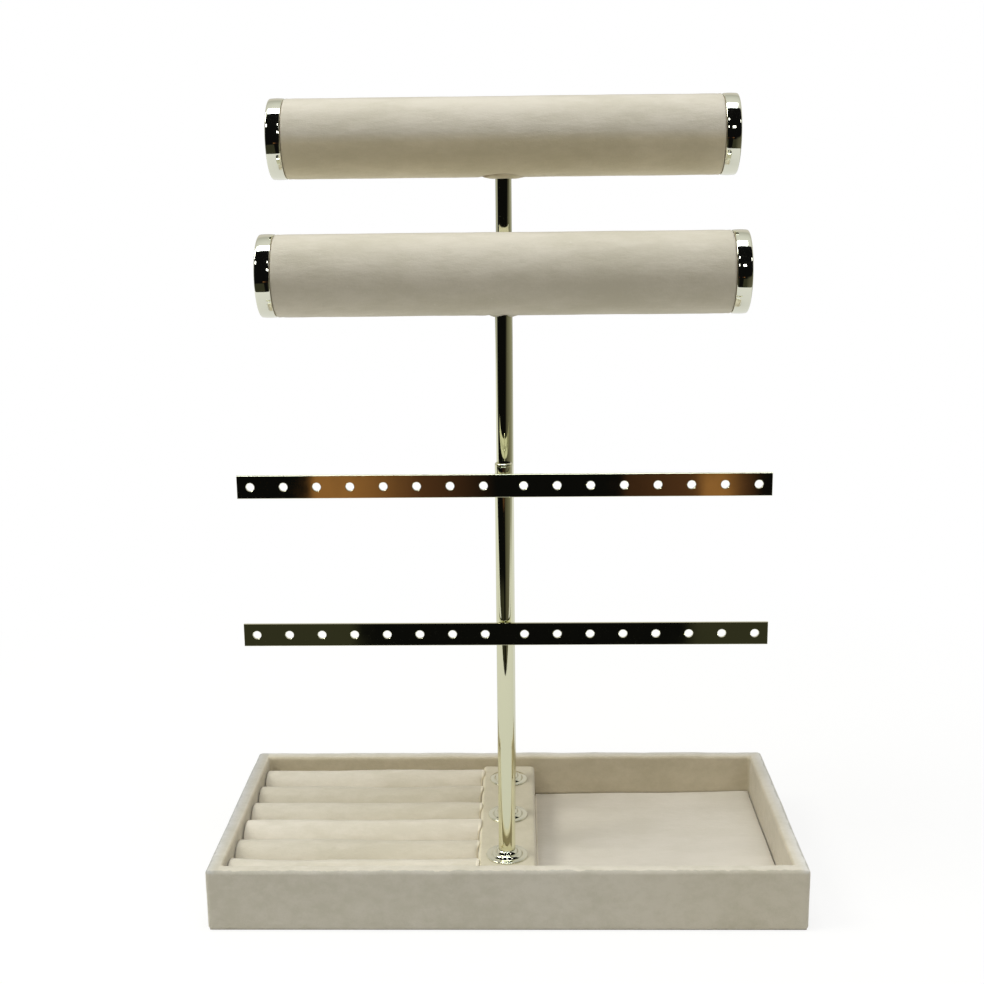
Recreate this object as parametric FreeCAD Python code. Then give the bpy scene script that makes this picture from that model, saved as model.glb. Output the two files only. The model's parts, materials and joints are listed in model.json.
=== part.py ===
import FreeCAD, Part
import math
import os

# Jewellery stand for a dressing table. A velvet-covered tray holds a lift-out ring insert on the left and an
# open compartment on the right. Three plated posts stand in a row on a centre block: the rear and middle
# posts carry velvet bracelet rolls, the front post carries two pierced earring bars.
# Millimetres. X runs along the tray, Y from front to back, Z up. The origin is the middle of the underside.

# Tray
tray_length = 280.0
tray_depth = 140.0
tray_height = 30.0
wall_board = 5.4
base_board = 6.0
velvet = 0.8
rim_radius = 1.5
corner_radius = 1.6
lining_corner_radius = 1.0
wrap_floor_gap = 0.6
liner_thickness = 1.0
liner_gap = 0.2

# Centre block
block_width = 28.0
block_below_rim = 4.8
block_end_gap = 0.3
block_edge_radius = 1.6

# Pad on the floor of the open compartment
pad_edge = 1.1
pad_crown = 0.6
pad_gap = 0.6

# Lift-out ring insert
ring_roll_count = 6
ring_roll_gap = 0.3
ring_roll_end_round = 2.4
ring_roll_below_rim = 3.2
insert_gap = 0.5
insert_card = 1.5
end_round_steps = 3

# Posts
post_diameter = 8.0
post_wall = 0.8
post_from_wall = 19.0
post_edge = 0.2
flange_diameter = 20.0
flange_plate = 1.2
flange_shoulder = 15.0
flange_neck = 10.6
flange_height = 3.6
foot_insert_length = 20.0

# Foot screws
screw_diameter = 4.0
screw_reach = 14.0
screw_head_diameter = 7.6
screw_head_height = 2.4
screw_socket_width = 2.5
screw_socket_depth = 1.4
screw_tip_room = 2.0
washer_diameter = 9.5
washer_thickness = 0.8
screw_recess_diameter = 11.0
screw_recess_depth = 3.6

# Bracelet rolls
roll_diameter = 38.6
roll_length = 228.0
roll_velvet = 1.0
roll_core_wall = 1.9
lower_roll_height = 298.5
roll_spacing = 64.0
roll_hub_length = 24.0
roll_cap_diameter = 39.0
roll_cap_skirt = 7.2
roll_cap_end = 1.4
roll_cap_edge_radius = 1.2
roll_seat_margin = 0.15
roll_stud_diameter = 5.0
roll_stud_projection = 14.0
roll_stud_spigot = 14.0
roll_stud_tip_room = 1.0

# Earring bars
bar_length = 240.0
bar_height = 10.5
bar_thickness = 1.5
lower_bar_height = 138.0
bar_spacing = 69.5
bar_hole_diameter = 3.8
bar_hole_pitch = 15.0
bar_hole_centre_gap = 18.0
bar_hole_end_margin = 6.0
saddle_width = 9.0
saddle_height = 8.0
saddle_crest = 0.8
saddle_wrap = 2.0
bar_stud_diameter = 3.0
bar_nut_width = 5.5
bar_nut_height = 2.4
bar_nut_dome_diameter = 5.0
bar_nut_dome_height = 2.2
bar_nut_dome_round = 1.6
bar_stud_engagement = 3.4
bar_nut_tip_room = 0.3

# Cap in the top of the front post
post_above_bar = 3.0
post_cap_height = 1.2
post_cap_round = 0.8
post_cap_spigot = 4.0

# Clearances
fit = 0.05
pivot_fit = 0.08
thread_gap = 0.05
hole_gap = 0.4
seat_gap = 0.15
cap_fit = 0.1

# A velvet edge is rounded by at most this many velvet thicknesses, so that the board's corner stays covered
round_limit = 2.0

# Worked out from the sizes above
wall = wall_board + 2 * velvet
inner_length = tray_length - 2 * wall
inner_depth = tray_depth - 2 * wall
board_length = tray_length - 2 * velvet
board_depth = tray_depth - 2 * velvet
base_top = liner_thickness + base_board
block_top = tray_height - block_below_rim
block_half = block_width / 2
block_end = inner_depth / 2 - block_end_gap
post_radius = post_diameter / 2
post_bore_radius = post_radius - post_wall
post_spacing = inner_depth / 2 - post_from_wall
post_y = {"front": -post_spacing, "middle": 0.0, "rear": post_spacing}
screw_radius = screw_diameter / 2
screw_seat = liner_thickness + screw_recess_depth
screw_head_top = screw_seat - washer_thickness
roll_core_radius = roll_diameter / 2 - roll_velvet
roll_core_bore = roll_core_radius - roll_core_wall
roll_stud_radius = roll_stud_diameter / 2
roll_seat_radius = post_radius + seat_gap
upper_roll_height = lower_roll_height + roll_spacing
upper_bar_height = lower_bar_height + bar_spacing
bar_heights = {"lower": lower_bar_height, "upper": upper_bar_height}
bar_stud_radius = bar_stud_diameter / 2
bar_back = post_y["front"] - post_radius - fit - saddle_crest
front_post_top = upper_bar_height + bar_height / 2 + post_above_bar
card_top = base_top + insert_card
insert_left = -inner_length / 2 + insert_gap
insert_right = -block_half - insert_gap
insert_half_depth = inner_depth / 2 - insert_gap

# How far a cutting tool runs past the face it cuts, and how closely an edge's place is compared
overshoot = 1.0
tolerance = 1e-6

V = FreeCAD.Vector
RIGHT = V(1, 0, 0)
BACK = V(0, 1, 0)
UP = V(0, 0, 1)


def box(x0, x1, y0, y1, z0, z1):
    return Part.makeBox(x1 - x0, y1 - y0, z1 - z0, V(x0, y0, z0))


def centred_box(length, depth, z0, z1):
    return box(-length / 2, length / 2, -depth / 2, depth / 2, z0, z1)


def upright_rod(radius, y, z0, z1):
    return Part.makeCylinder(radius, z1 - z0, V(0, y, z0), UP)


def lengthwise_rod(radius, half_length, y, z):
    return Part.makeCylinder(radius, 2 * half_length, V(-half_length, y, z), RIGHT)


def crosswise_rod(radius, x, z, y0, y1):
    return Part.makeCylinder(radius, y1 - y0, V(x, y0, z), BACK)


def turned(profile, y):
    """A ring or plug turned about the vertical line at y, from its (radius, height) corners."""
    corners = [V(radius, y, z) for radius, z in profile]
    face = Part.Face(Part.makePolygon(corners + corners[:1]))
    return face.revolve(V(0, y, 0), UP, 360)


def hexagon(width, centre, axis, height):
    """A six-sided prism, width across its flats, standing on centre along axis."""
    reach = width / 2 / math.cos(math.pi / 6)
    side = UP if axis != UP else RIGHT
    other = axis.cross(side)
    turns = [math.pi / 3 * step for step in range(6)]
    corners = [centre + side * (reach * math.cos(a)) + other * (reach * math.sin(a)) for a in turns]
    return Part.Face(Part.makePolygon(corners + corners[:1])).extrude(axis * height)


def rounded(shape, radius, wanted):
    return shape.makeFillet(radius, [edge for edge in shape.Edges if wanted(edge.BoundBox)])


def is_upright(bounds):
    return bounds.ZLength > bounds.XLength + bounds.YLength


def lies_at(z):
    return lambda bounds: abs(bounds.ZMin - z) < tolerance and abs(bounds.ZMax - z) < tolerance


def ends_at(x):
    return lambda bounds: abs(bounds.XMin - x) < tolerance and abs(bounds.XMax - x) < tolerance


def velvet_round(radius):
    return min(radius, round_limit * velvet)


def screw_passages(shape):
    """The shape with the three bores that the foot screws turn in."""
    for y in post_y.values():
        shape = shape.cut(upright_rod(screw_radius + pivot_fit, y, -overshoot, block_top + overshoot))
    return shape


def screw_recesses(shape):
    """The shape with the three pockets, open below, that hold the foot screws' heads."""
    for y in post_y.values():
        shape = shape.cut(upright_rod(screw_recess_diameter / 2, y, -overshoot, screw_seat))
    return shape


# Tray: boards, bottom liner and the velvet that wraps the walls
def tray_walls():
    side_x = board_length / 2 - wall_board
    end_y = board_depth / 2 - wall_board
    top = tray_height - velvet
    return {
        "tray_left_wall": box(-board_length / 2, -side_x, -board_depth / 2, board_depth / 2, base_top, top),
        "tray_right_wall": box(side_x, board_length / 2, -board_depth / 2, board_depth / 2, base_top, top),
        "tray_front_wall": box(-side_x, side_x, -board_depth / 2, -end_y, base_top, top),
        "tray_back_wall": box(-side_x, side_x, end_y, board_depth / 2, base_top, top),
    }


def tray_base_board():
    return screw_recesses(screw_passages(centred_box(board_length, board_depth, liner_thickness, base_top)))


def tray_bottom_liner():
    length = board_length - 2 * liner_gap
    depth = board_depth - 2 * liner_gap
    return screw_recesses(centred_box(length, depth, 0, liner_thickness))


def tray_velvet_wrap():
    outside = centred_box(tray_length, tray_depth, wrap_floor_gap, tray_height)
    outside = rounded(outside, velvet_round(corner_radius), is_upright)
    boards = centred_box(board_length, board_depth, 0, tray_height - velvet)
    lined = centred_box(inner_length + 2 * velvet, inner_depth + 2 * velvet, base_top, tray_height)
    cavity = centred_box(inner_length, inner_depth, base_top - overshoot, tray_height + overshoot)
    cavity = rounded(cavity, lining_corner_radius, is_upright)
    wrap = outside.cut(boards.cut(lined)).cut(cavity)
    return rounded(wrap, velvet_round(rim_radius), lies_at(tray_height))


# Centre block that the posts stand on
def block_core():
    half = block_half - velvet
    end = block_end - velvet
    return screw_passages(box(-half, half, -end, end, base_top, block_top - velvet))


def block_velvet():
    half = block_half - velvet
    end = block_end - velvet
    skin = box(-block_half, block_half, -block_end, block_end, base_top, block_top)
    skin = rounded(skin, velvet_round(block_edge_radius), lambda b: is_upright(b) or lies_at(block_top)(b))
    return screw_passages(skin.cut(box(-half, half, -end, end, base_top, block_top - velvet)))


# Crowned pad on the compartment floor
def compartment_pad():
    left = block_half + pad_gap
    right = inner_length / 2 - pad_gap
    half_depth = inner_depth / 2 - pad_gap
    edge_z = base_top + pad_edge
    front_low = V(left, -half_depth, base_top)
    back_low = V(left, half_depth, base_top)
    back_high = V(left, half_depth, edge_z)
    front_high = V(left, -half_depth, edge_z)
    outline = Part.Wire([
        Part.LineSegment(front_low, back_low).toShape(),
        Part.LineSegment(back_low, back_high).toShape(),
        Part.Arc(back_high, V(left, 0, edge_z + pad_crown), front_high).toShape(),
        Part.LineSegment(front_high, front_low).toShape(),
    ])
    return Part.Face(outline).extrude(RIGHT * (right - left))


# Lift-out ring insert: a card with padded rolls side by side
ring_roll_pitch = 2 * insert_half_depth / ring_roll_count
ring_roll_radius = (ring_roll_pitch - ring_roll_gap) / 2
ring_roll_height = tray_height - ring_roll_below_rim - ring_roll_radius


def ring_roll_outline(x, y, inset):
    """A round-topped arch on straight sides, running on below the card's top."""
    radius = ring_roll_radius - inset
    foot = min(card_top, ring_roll_height) - overshoot

    def at_angle(angle):
        return V(x, y + radius * math.cos(angle), ring_roll_height + radius * math.sin(angle))

    back_foot = V(x, y + radius, foot)
    front_foot = V(x, y - radius, foot)
    eighth = math.pi / 4
    return Part.Wire([
        Part.LineSegment(back_foot, at_angle(0)).toShape(),
        Part.Arc(at_angle(0), at_angle(eighth), at_angle(2 * eighth)).toShape(),
        Part.Arc(at_angle(2 * eighth), at_angle(3 * eighth), at_angle(4 * eighth)).toShape(),
        Part.LineSegment(at_angle(4 * eighth), front_foot).toShape(),
        Part.LineSegment(front_foot, back_foot).toShape(),
    ])


def ring_roll(number):
    """One padded roll, numbered from the front, drawn in towards both ends and cut flat on the card."""
    y = -insert_half_depth + ring_roll_pitch * (number - 0.5)
    turns = [math.pi / 2 * step / end_round_steps for step in range(end_round_steps + 1)]
    ends = [(ring_roll_end_round * (1 - math.cos(a)), ring_roll_end_round * (1 - math.sin(a))) for a in turns]
    left = [ring_roll_outline(insert_left + along, y, inset) for along, inset in ends]
    right = [ring_roll_outline(insert_right - along, y, inset) for along, inset in ends]
    roll = Part.makeLoft(left + right[::-1], True, True)
    below = min(card_top, ring_roll_height) - 2 * overshoot
    reach = ring_roll_radius + overshoot
    waste = box(insert_left - overshoot, insert_right + overshoot, y - reach, y + reach, below, card_top)
    return roll.cut(waste)


def ring_insert_card():
    return box(insert_left, insert_right, -insert_half_depth, insert_half_depth, base_top, card_top)


# Post, its flange and the fastening in its foot
def post_tube(y, top):
    outside = turned([
        (0, block_top),
        (post_radius, block_top),
        (post_radius, top - post_edge),
        (post_radius - post_edge, top),
        (0, top),
    ], y)
    return outside.cut(upright_rod(post_bore_radius, y, block_top - overshoot, top + overshoot))


def post_flange(y):
    return turned([
        (post_radius + fit, block_top),
        (flange_diameter / 2, block_top),
        (flange_diameter / 2, block_top + flange_plate / 2),
        (flange_shoulder / 2, block_top + flange_plate),
        (flange_neck / 2, block_top + flange_height),
        (post_radius + fit, block_top + flange_height),
    ], y)


def foot_insert(y):
    plug = upright_rod(post_bore_radius - fit, y, block_top, block_top + foot_insert_length)
    thread_top = block_top + screw_reach + screw_tip_room
    return plug.cut(upright_rod(screw_radius + thread_gap, y, block_top - overshoot, thread_top))


def foot_screw(y):
    head_bottom = screw_head_top - screw_head_height
    head = upright_rod(screw_head_diameter / 2, y, head_bottom, screw_head_top)
    socket = hexagon(screw_socket_width, V(0, y, head_bottom), UP, screw_socket_depth)
    return head.fuse(upright_rod(screw_radius, y, screw_head_top, block_top + screw_reach)).cut(socket)


def foot_washer(y):
    ring = upright_rod(washer_diameter / 2, y, screw_head_top, screw_seat)
    return ring.cut(upright_rod(screw_radius + fit, y, screw_head_top - overshoot, screw_seat + overshoot))


def upright_foot(name):
    """The pieces that every post has at its foot, named for the post."""
    y = post_y[name]
    return {
        f"{name}_post_flange": post_flange(y),
        f"{name}_post_foot_insert": foot_insert(y),
        f"{name}_post_foot_screw": foot_screw(y),
        f"{name}_post_foot_washer": foot_washer(y),
    }


# Bracelet roll: core tube, velvet sleeve, hub and end caps, seated on the top of its post
def roll_seat(height):
    """Height of the flat that the post's top bears on, cut just clear of the core's curve."""
    sag = roll_core_radius - math.sqrt(roll_core_radius ** 2 - roll_seat_radius ** 2)
    return height - roll_core_radius + sag + roll_seat_margin


def roll_core(y, height):
    half = roll_length / 2 - roll_cap_end
    tube = lengthwise_rod(roll_core_radius, half, y, height)
    tube = tube.cut(lengthwise_rod(roll_core_bore, half + overshoot, y, height))
    pocket = upright_rod(roll_seat_radius, y, height - roll_diameter, roll_seat(height))
    passage = upright_rod(roll_stud_radius + hole_gap, y, height - roll_diameter, height)
    return tube.cut(pocket).cut(passage)


def roll_sleeve(y, height):
    half = roll_length / 2 - roll_cap_skirt
    tube = lengthwise_rod(roll_diameter / 2, half, y, height)
    tube = tube.cut(lengthwise_rod(roll_core_radius, half + overshoot, y, height))
    return tube.cut(upright_rod(roll_seat_radius, y, height - roll_diameter, height))


def roll_hub(y, height):
    plug = lengthwise_rod(roll_core_bore - fit, roll_hub_length / 2, y, height)
    thread_top = roll_seat(height) + roll_stud_projection + roll_stud_tip_room
    return plug.cut(upright_rod(roll_stud_radius + thread_gap, y, height - roll_diameter, thread_top))


def roll_cap(y, height, side):
    """A cup over one end of the core; side is 1 for the right end and -1 for the left."""
    end = side * roll_length / 2
    inward = RIGHT * -side
    cup = Part.makeCylinder(roll_cap_diameter / 2, roll_cap_skirt, V(end, y, height), inward)
    cup = rounded(cup, roll_cap_edge_radius, ends_at(end))
    floor = V(end - side * roll_cap_end, y, height)
    return cup.cut(Part.makeCylinder(roll_core_radius + cap_fit, roll_cap_skirt, floor, inward))


def roll_stud(y, height):
    top = roll_seat(height)
    spigot = upright_rod(post_bore_radius - fit, y, top - roll_stud_spigot, top)
    return spigot.fuse(upright_rod(roll_stud_radius, y, top, top + roll_stud_projection))


def roll_upright(post, roll, height):
    """One post with its bracelet roll, as named pieces."""
    y = post_y[post]
    return {
        f"{post}_post": post_tube(y, roll_seat(height)),
        f"{post}_post_top_stud": roll_stud(y, height),
        f"{roll}_roll_core": roll_core(y, height),
        f"{roll}_roll_sleeve": roll_sleeve(y, height),
        f"{roll}_roll_hub": roll_hub(y, height),
        f"{roll}_roll_left_cap": roll_cap(y, height, -1),
        f"{roll}_roll_right_cap": roll_cap(y, height, 1),
    }


# Front post with its two earring bars
def front_post():
    y = post_y["front"]
    tube = post_tube(y, front_post_top)
    for height in bar_heights.values():
        reach = post_radius + overshoot
        tube = tube.cut(crosswise_rod(bar_stud_radius + seat_gap, 0, height, y - reach, y + reach))
    return tube


def front_post_cap():
    y = post_y["front"]
    disc = upright_rod(post_radius, y, front_post_top, front_post_top + post_cap_height)
    disc = rounded(disc, post_cap_round, lies_at(front_post_top + post_cap_height))
    return disc.fuse(upright_rod(post_bore_radius - fit, y, front_post_top - post_cap_spigot, front_post_top))


def earring_bar(height):
    low = height - bar_height / 2
    plate = box(-bar_length / 2, bar_length / 2, bar_back - bar_thickness, bar_back, low, low + bar_height)
    room = bar_length / 2 - bar_hole_end_margin - bar_hole_centre_gap / 2
    holes_each_side = int(room / bar_hole_pitch + tolerance) + 1
    radius = bar_hole_diameter / 2
    front = bar_back - bar_thickness - overshoot
    for number in range(holes_each_side):
        x = bar_hole_centre_gap / 2 + bar_hole_pitch * number
        for hole_x in (-x, x):
            plate = plate.cut(crosswise_rod(radius, hole_x, height, front, bar_back + overshoot))
    return plate


def bar_saddle(height):
    y = post_y["front"]
    low = height - saddle_height / 2
    high = height + saddle_height / 2
    back = bar_back + saddle_crest + saddle_wrap
    saddle = box(-saddle_width / 2, saddle_width / 2, bar_back, back, low, high)
    saddle = saddle.cut(upright_rod(post_radius + fit, y, low - overshoot, high + overshoot))
    return saddle.cut(crosswise_rod(bar_stud_radius + seat_gap, 0, height, bar_back - overshoot, y))


def bar_stud(height):
    end = post_y["front"] + post_radius + bar_stud_engagement
    return crosswise_rod(bar_stud_radius, 0, height, bar_back, end)


def bar_nut(height):
    seat = post_y["front"] + post_radius
    dome_base = seat + bar_nut_height
    dome_tip = dome_base + bar_nut_dome_height
    dome = crosswise_rod(bar_nut_dome_diameter / 2, 0, height, dome_base, dome_tip)
    dome = rounded(dome, bar_nut_dome_round, lambda b: abs(b.YMin - dome_tip) < tolerance)
    nut = hexagon(bar_nut_width, V(0, seat, height), BACK, bar_nut_height).fuse(dome)
    bore_end = seat + bar_stud_engagement + bar_nut_tip_room
    return nut.cut(crosswise_rod(bar_stud_radius + thread_gap, 0, height, seat - overshoot, bore_end))


# Every piece by name
pieces = {
    "tray_base_board": tray_base_board(),
    "tray_bottom_liner": tray_bottom_liner(),
    "tray_velvet_wrap": tray_velvet_wrap(),
    "post_block": block_core(),
    "post_block_velvet": block_velvet(),
    "compartment_pad": compartment_pad(),
    "ring_insert_card": ring_insert_card(),
    "front_post": front_post(),
    "front_post_cap": front_post_cap(),
}
pieces.update(tray_walls())
for number in range(1, ring_roll_count + 1):
    pieces[f"ring_roll_{number}"] = ring_roll(number)
for post in post_y:
    pieces.update(upright_foot(post))
pieces.update(roll_upright("rear", "upper", upper_roll_height))
pieces.update(roll_upright("middle", "lower", lower_roll_height))
for level, height in bar_heights.items():
    pieces[f"{level}_earring_bar"] = earring_bar(height)
    pieces[f"{level}_bar_saddle"] = bar_saddle(height)
    pieces[f"{level}_bar_stud"] = bar_stud(height)
    pieces[f"{level}_bar_nut"] = bar_nut(height)

os.makedirs("parts", exist_ok=True)
for name, shape in sorted(pieces.items()):
    shape.exportStep(f"parts/{name}.step")
    state = "valid" if shape.isValid() else "NOT VALID"
    print(f"{name}: {len(shape.Solids)} solid, {shape.Volume / 1000:.3f} cm3, {state}")
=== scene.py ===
# %% [markdown]
# # Dressing a velvet jewellery stand
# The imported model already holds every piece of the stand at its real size: tray boards, posts, rolls,
# bars and fasteners. Blender's work is the looks. Most rigid pieces keep their solids and get a finish.
# Every velvet piece is modelled again as the soft thing it is, in the same place. So are the plated
# caps, flanges and bars, because a mirror finish needs softer edges than their solids have.

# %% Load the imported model
import json
import math

import bmesh
import bpy
from mathutils import Matrix, Vector, noise


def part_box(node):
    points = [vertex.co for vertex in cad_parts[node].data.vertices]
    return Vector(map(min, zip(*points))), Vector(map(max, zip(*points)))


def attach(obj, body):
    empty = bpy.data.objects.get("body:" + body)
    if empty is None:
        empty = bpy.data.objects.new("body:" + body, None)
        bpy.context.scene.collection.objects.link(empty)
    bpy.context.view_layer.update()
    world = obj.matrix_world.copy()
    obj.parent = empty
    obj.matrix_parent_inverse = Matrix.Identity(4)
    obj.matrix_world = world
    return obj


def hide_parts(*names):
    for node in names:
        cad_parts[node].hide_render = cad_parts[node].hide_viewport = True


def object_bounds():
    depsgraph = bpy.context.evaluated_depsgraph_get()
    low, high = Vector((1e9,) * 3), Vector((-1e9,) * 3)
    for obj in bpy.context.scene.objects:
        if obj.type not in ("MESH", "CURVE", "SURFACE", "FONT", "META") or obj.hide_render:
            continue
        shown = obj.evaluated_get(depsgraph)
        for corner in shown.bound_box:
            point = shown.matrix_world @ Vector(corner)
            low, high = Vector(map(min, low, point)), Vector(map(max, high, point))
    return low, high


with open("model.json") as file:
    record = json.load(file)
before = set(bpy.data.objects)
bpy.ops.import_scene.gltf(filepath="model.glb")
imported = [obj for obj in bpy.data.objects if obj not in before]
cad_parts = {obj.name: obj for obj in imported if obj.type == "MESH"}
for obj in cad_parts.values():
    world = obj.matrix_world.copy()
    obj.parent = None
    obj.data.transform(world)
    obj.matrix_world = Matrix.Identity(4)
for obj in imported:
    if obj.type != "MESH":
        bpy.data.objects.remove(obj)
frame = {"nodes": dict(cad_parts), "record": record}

MM = 0.001
scene = bpy.context.scene
cad_low, cad_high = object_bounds()
cad_size = [round(side / MM, 1) for side in cad_high - cad_low]
print("solids:", len(frame["nodes"]), "size in mm:", cad_size)

# %% [markdown]
# ## The camera
# A photographer would say where the camera stands, how far it is turned, tipped and rolled, and which
# lens is on it. The same six numbers and a focal length place this one. It could also be aimed with a
# constraint, but plain angles are easier to compare with a photograph. The focal length is written in
# pixels of a square picture and turned into a lens for the sensor.

# %% Camera
PICTURE_PIXELS = 984
FOCAL_PIXELS = 1391.1
SENSOR_WIDTH = 36.0
CAMERA_PLACE = Vector((8.3, -659.5, 336.6)) * MM
CAMERA_TURN = math.radians(-1.27)
CAMERA_TIP = math.radians(12.21)
CAMERA_ROLL = math.radians(-0.63)

camera_data = bpy.data.cameras.new("camera")
camera_data.sensor_width = SENSOR_WIDTH
camera_data.lens = FOCAL_PIXELS / PICTURE_PIXELS * SENSOR_WIDTH
camera_data.clip_start = 0.01
camera = bpy.data.objects.new("camera", camera_data)
turn = Matrix.Rotation(-CAMERA_TURN, 4, "Z")
tip = Matrix.Rotation(math.pi / 2 - CAMERA_TIP, 4, "X")
roll = Matrix.Rotation(CAMERA_ROLL, 4, "Z")
camera.matrix_world = Matrix.Translation(CAMERA_PLACE) @ turn @ tip @ roll
scene.collection.objects.link(camera)
scene.camera = camera
print("lens in mm:", round(camera_data.lens, 1))

# %% [markdown]
# ## Small helpers for node trees
# Every finish here is a tree of shader nodes. Adding nodes one by one takes many lines, so two helpers
# do it: one adds a node and fills its inputs, the other starts a material and hands back its tree and
# its main shader. The helpers after them are the few kinds of node that most finishes share.

# %% Node helpers
def add_node(tree, kind, inputs=None, **settings):
    """Adds a node. An input that is given a socket is linked to it, and any other value is set."""
    made = tree.nodes.new(kind)
    for name, value in settings.items():
        setattr(made, name, value)
    for key, value in (inputs or {}).items():
        if isinstance(value, bpy.types.NodeSocket):
            tree.links.new(value, made.inputs[key])
        else:
            made.inputs[key].default_value = value
    return made


def start_finish(name, **values):
    """A new material with its main shader's uniform values set on the shader itself."""
    finish = bpy.data.materials.new(name)
    finish.use_nodes = True
    tree = finish.node_tree
    shader = tree.nodes["Principled BSDF"]
    for key, value in values.items():
        shader.inputs[key.replace("_", " ")].default_value = value
    return finish, tree, shader


def object_place(tree):
    return add_node(tree, "ShaderNodeTexCoord").outputs["Object"]


def sides_of(tree, place):
    """The X, Y and Z of a place, as sockets."""
    return add_node(tree, "ShaderNodeSeparateXYZ", {"Vector": place}).outputs


def maths(tree, operation, *values):
    inputs = dict(enumerate(values))
    return add_node(tree, "ShaderNodeMath", inputs, operation=operation).outputs[0]


def product(tree, first, *others):
    for other in others:
        first = maths(tree, "MULTIPLY", first, other)
    return first


def between(tree, value, low, high, new_low=0.0, new_high=1.0):
    """Stretches the part of a value from low to high over a new span, and holds it outside."""
    inputs = {"Value": value, "From Min": low, "From Max": high, "To Min": new_low, "To Max": new_high}
    return add_node(tree, "ShaderNodeMapRange", inputs).outputs["Result"]


print("node helpers ready")

# %% Colour, noise and bump helpers
def blend_colours(tree, amount, first, second, way="MIX"):
    inputs = {"Factor": amount, 6: first, 7: second}
    return add_node(tree, "ShaderNodeMix", inputs, data_type="RGBA", blend_type=way).outputs[2]


def ramp(tree, value, stops, interpolation="LINEAR"):
    """Colours along a value from 0 to 1, from (place, colour) stops."""
    made = add_node(tree, "ShaderNodeValToRGB", {"Fac": value})
    made.color_ramp.interpolation = interpolation
    marks = made.color_ramp.elements
    for index, (place, colour) in enumerate(stops):
        mark = marks[index] if index < 2 else marks.new(place)
        mark.position = place
        mark.color = colour
    return made.outputs["Color"]


def cloud(tree, place, size_mm, detail=2.0, stretch=None, ragged=0.5):
    """A soft noise with blotches about size_mm across, longer along an axis where stretch says so."""
    if stretch:
        inputs = {"Vector": place, "Scale": stretch}
        place = add_node(tree, "ShaderNodeMapping", inputs).outputs["Vector"]
    inputs = {"Vector": place, "Scale": 1 / (size_mm * MM), "Detail": detail, "Roughness": ragged}
    return add_node(tree, "ShaderNodeTexNoise", inputs).outputs["Fac"]


def bumpy(tree, shader, height, strength, depth_mm, under=None):
    """Gives a shader a bump, on top of an earlier bump where there is one."""
    inputs = {"Height": height, "Strength": strength, "Distance": depth_mm * MM}
    if under is not None:
        inputs["Normal"] = under
    normal = add_node(tree, "ShaderNodeBump", inputs).outputs["Normal"]
    tree.links.new(normal, shader.inputs["Normal"])
    return normal


print("colour, noise and bump helpers ready")

# %% [markdown]
# ## Velvet
# Velvet is a field of short upright fibres, the pile. Where a hand has brushed it the fibres lean, and
# that patch turns a little lighter or darker. Up close the pile is a fine grain, and at grazing angles
# it glows. So the finish has three layers: soft blotches of colour, a fine grain in the bump, and
# sheen. An image of velvet would show its tiling on the long rolls, while noise worked out from the
# place in space never repeats.

# %% Velvet finish
VELVET_TONE = (0.635, 0.590, 0.485)
VELVET_LINT = (0.76, 0.73, 0.66, 1)
SHEEN_TINT = (1.0, 0.97, 0.90, 1)
GRAIN_MM = 0.45
LINT_MM = 2.2
DRIFT_PATCHES = 6
PATCH_RAGGED = 0.72
BLUE_FADE = 1.3


def toned(colour, share):
    """A colour made lighter or darker; blue fades a little faster, as it does in shaded cream cloth."""
    red, green, blue = colour
    return (red * share, green * share, blue * share**BLUE_FADE, 1)


def velvet_finish(name, patch_mm, stroke, contrast, lint_from, tone=1.0, shades=()):
    """Cream velvet with brushed patches about patch_mm wide; stroke squeezes them along an axis.

    Each of the shades is a place on the piece and the colour that multiplies the pile there.
    """
    finish, tree, shader = start_finish(
        name, Roughness=0.95, Specular_IOR_Level=0.12,
        Sheen_Weight=0.70, Sheen_Roughness=0.40, Sheen_Tint=SHEEN_TINT,
    )
    place = object_place(tree)
    patches = cloud(tree, place, patch_mm, detail=5.0, stretch=stroke, ragged=PATCH_RAGGED)
    drift = cloud(tree, place, DRIFT_PATCHES * patch_mm, detail=1.0)
    grain = cloud(tree, place, GRAIN_MM, detail=2.0)
    lint = cloud(tree, place, LINT_MM, detail=1.0)
    patch_share = between(tree, patches, 0.34, 0.66)
    drift_share = between(tree, drift, 0.35, 0.65, -0.35, 0.35)
    grain_share = between(tree, grain, 0.3, 0.7, -0.12, 0.12)
    lint_share = between(tree, lint, lint_from, lint_from + 0.04, 0.0, 0.6)
    amount = maths(tree, "ADD", maths(tree, "ADD", patch_share, drift_share), grain_share)
    dark = toned(VELVET_TONE, tone * (1 - contrast))
    light = toned(VELVET_TONE, tone * (1 + contrast))
    colour = blend_colours(tree, amount, dark, light)
    colour = blend_colours(tree, lint_share, colour, VELVET_LINT)
    for where, shade in shades:
        colour = blend_colours(tree, where(tree, place), colour, shade, "MULTIPLY")
    tree.links.new(colour, shader.inputs["Base Color"])
    fine = bumpy(tree, shader, grain, strength=0.25, depth_mm=0.25)
    bumpy(tree, shader, patches, strength=0.3, depth_mm=1.6, under=fine)
    return finish


print("velvet from", toned(VELVET_TONE, 0.9)[:3], "to", toned(VELVET_TONE, 1.1)[:3])

# %% [markdown]
# ## Places for painted shade and light
# A real velvet piece is not one shade all over, but here the changes mostly paint in shade and light.
# The tray gets painted shade on the outside of its walls, a warmer painted shade inside, and a painted
# pale sheen along the outer edges. Vertex paint could hold such shades, but it is as coarse as the mesh.
# Here each place is a small function that gives 1 inside it and 0 outside, from the point's own
# coordinates in metres. Most are strips that fade in along an axis, or strips that cross.

# %% Strips
def strip(axis, fade, full, least=0.0, most=1.0):
    """A place that rises from least to most between two values along an axis, and holds beyond them."""
    def where(tree, place):
        return between(tree, sides_of(tree, place)[axis], fade, full, least, most)
    return where


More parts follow.
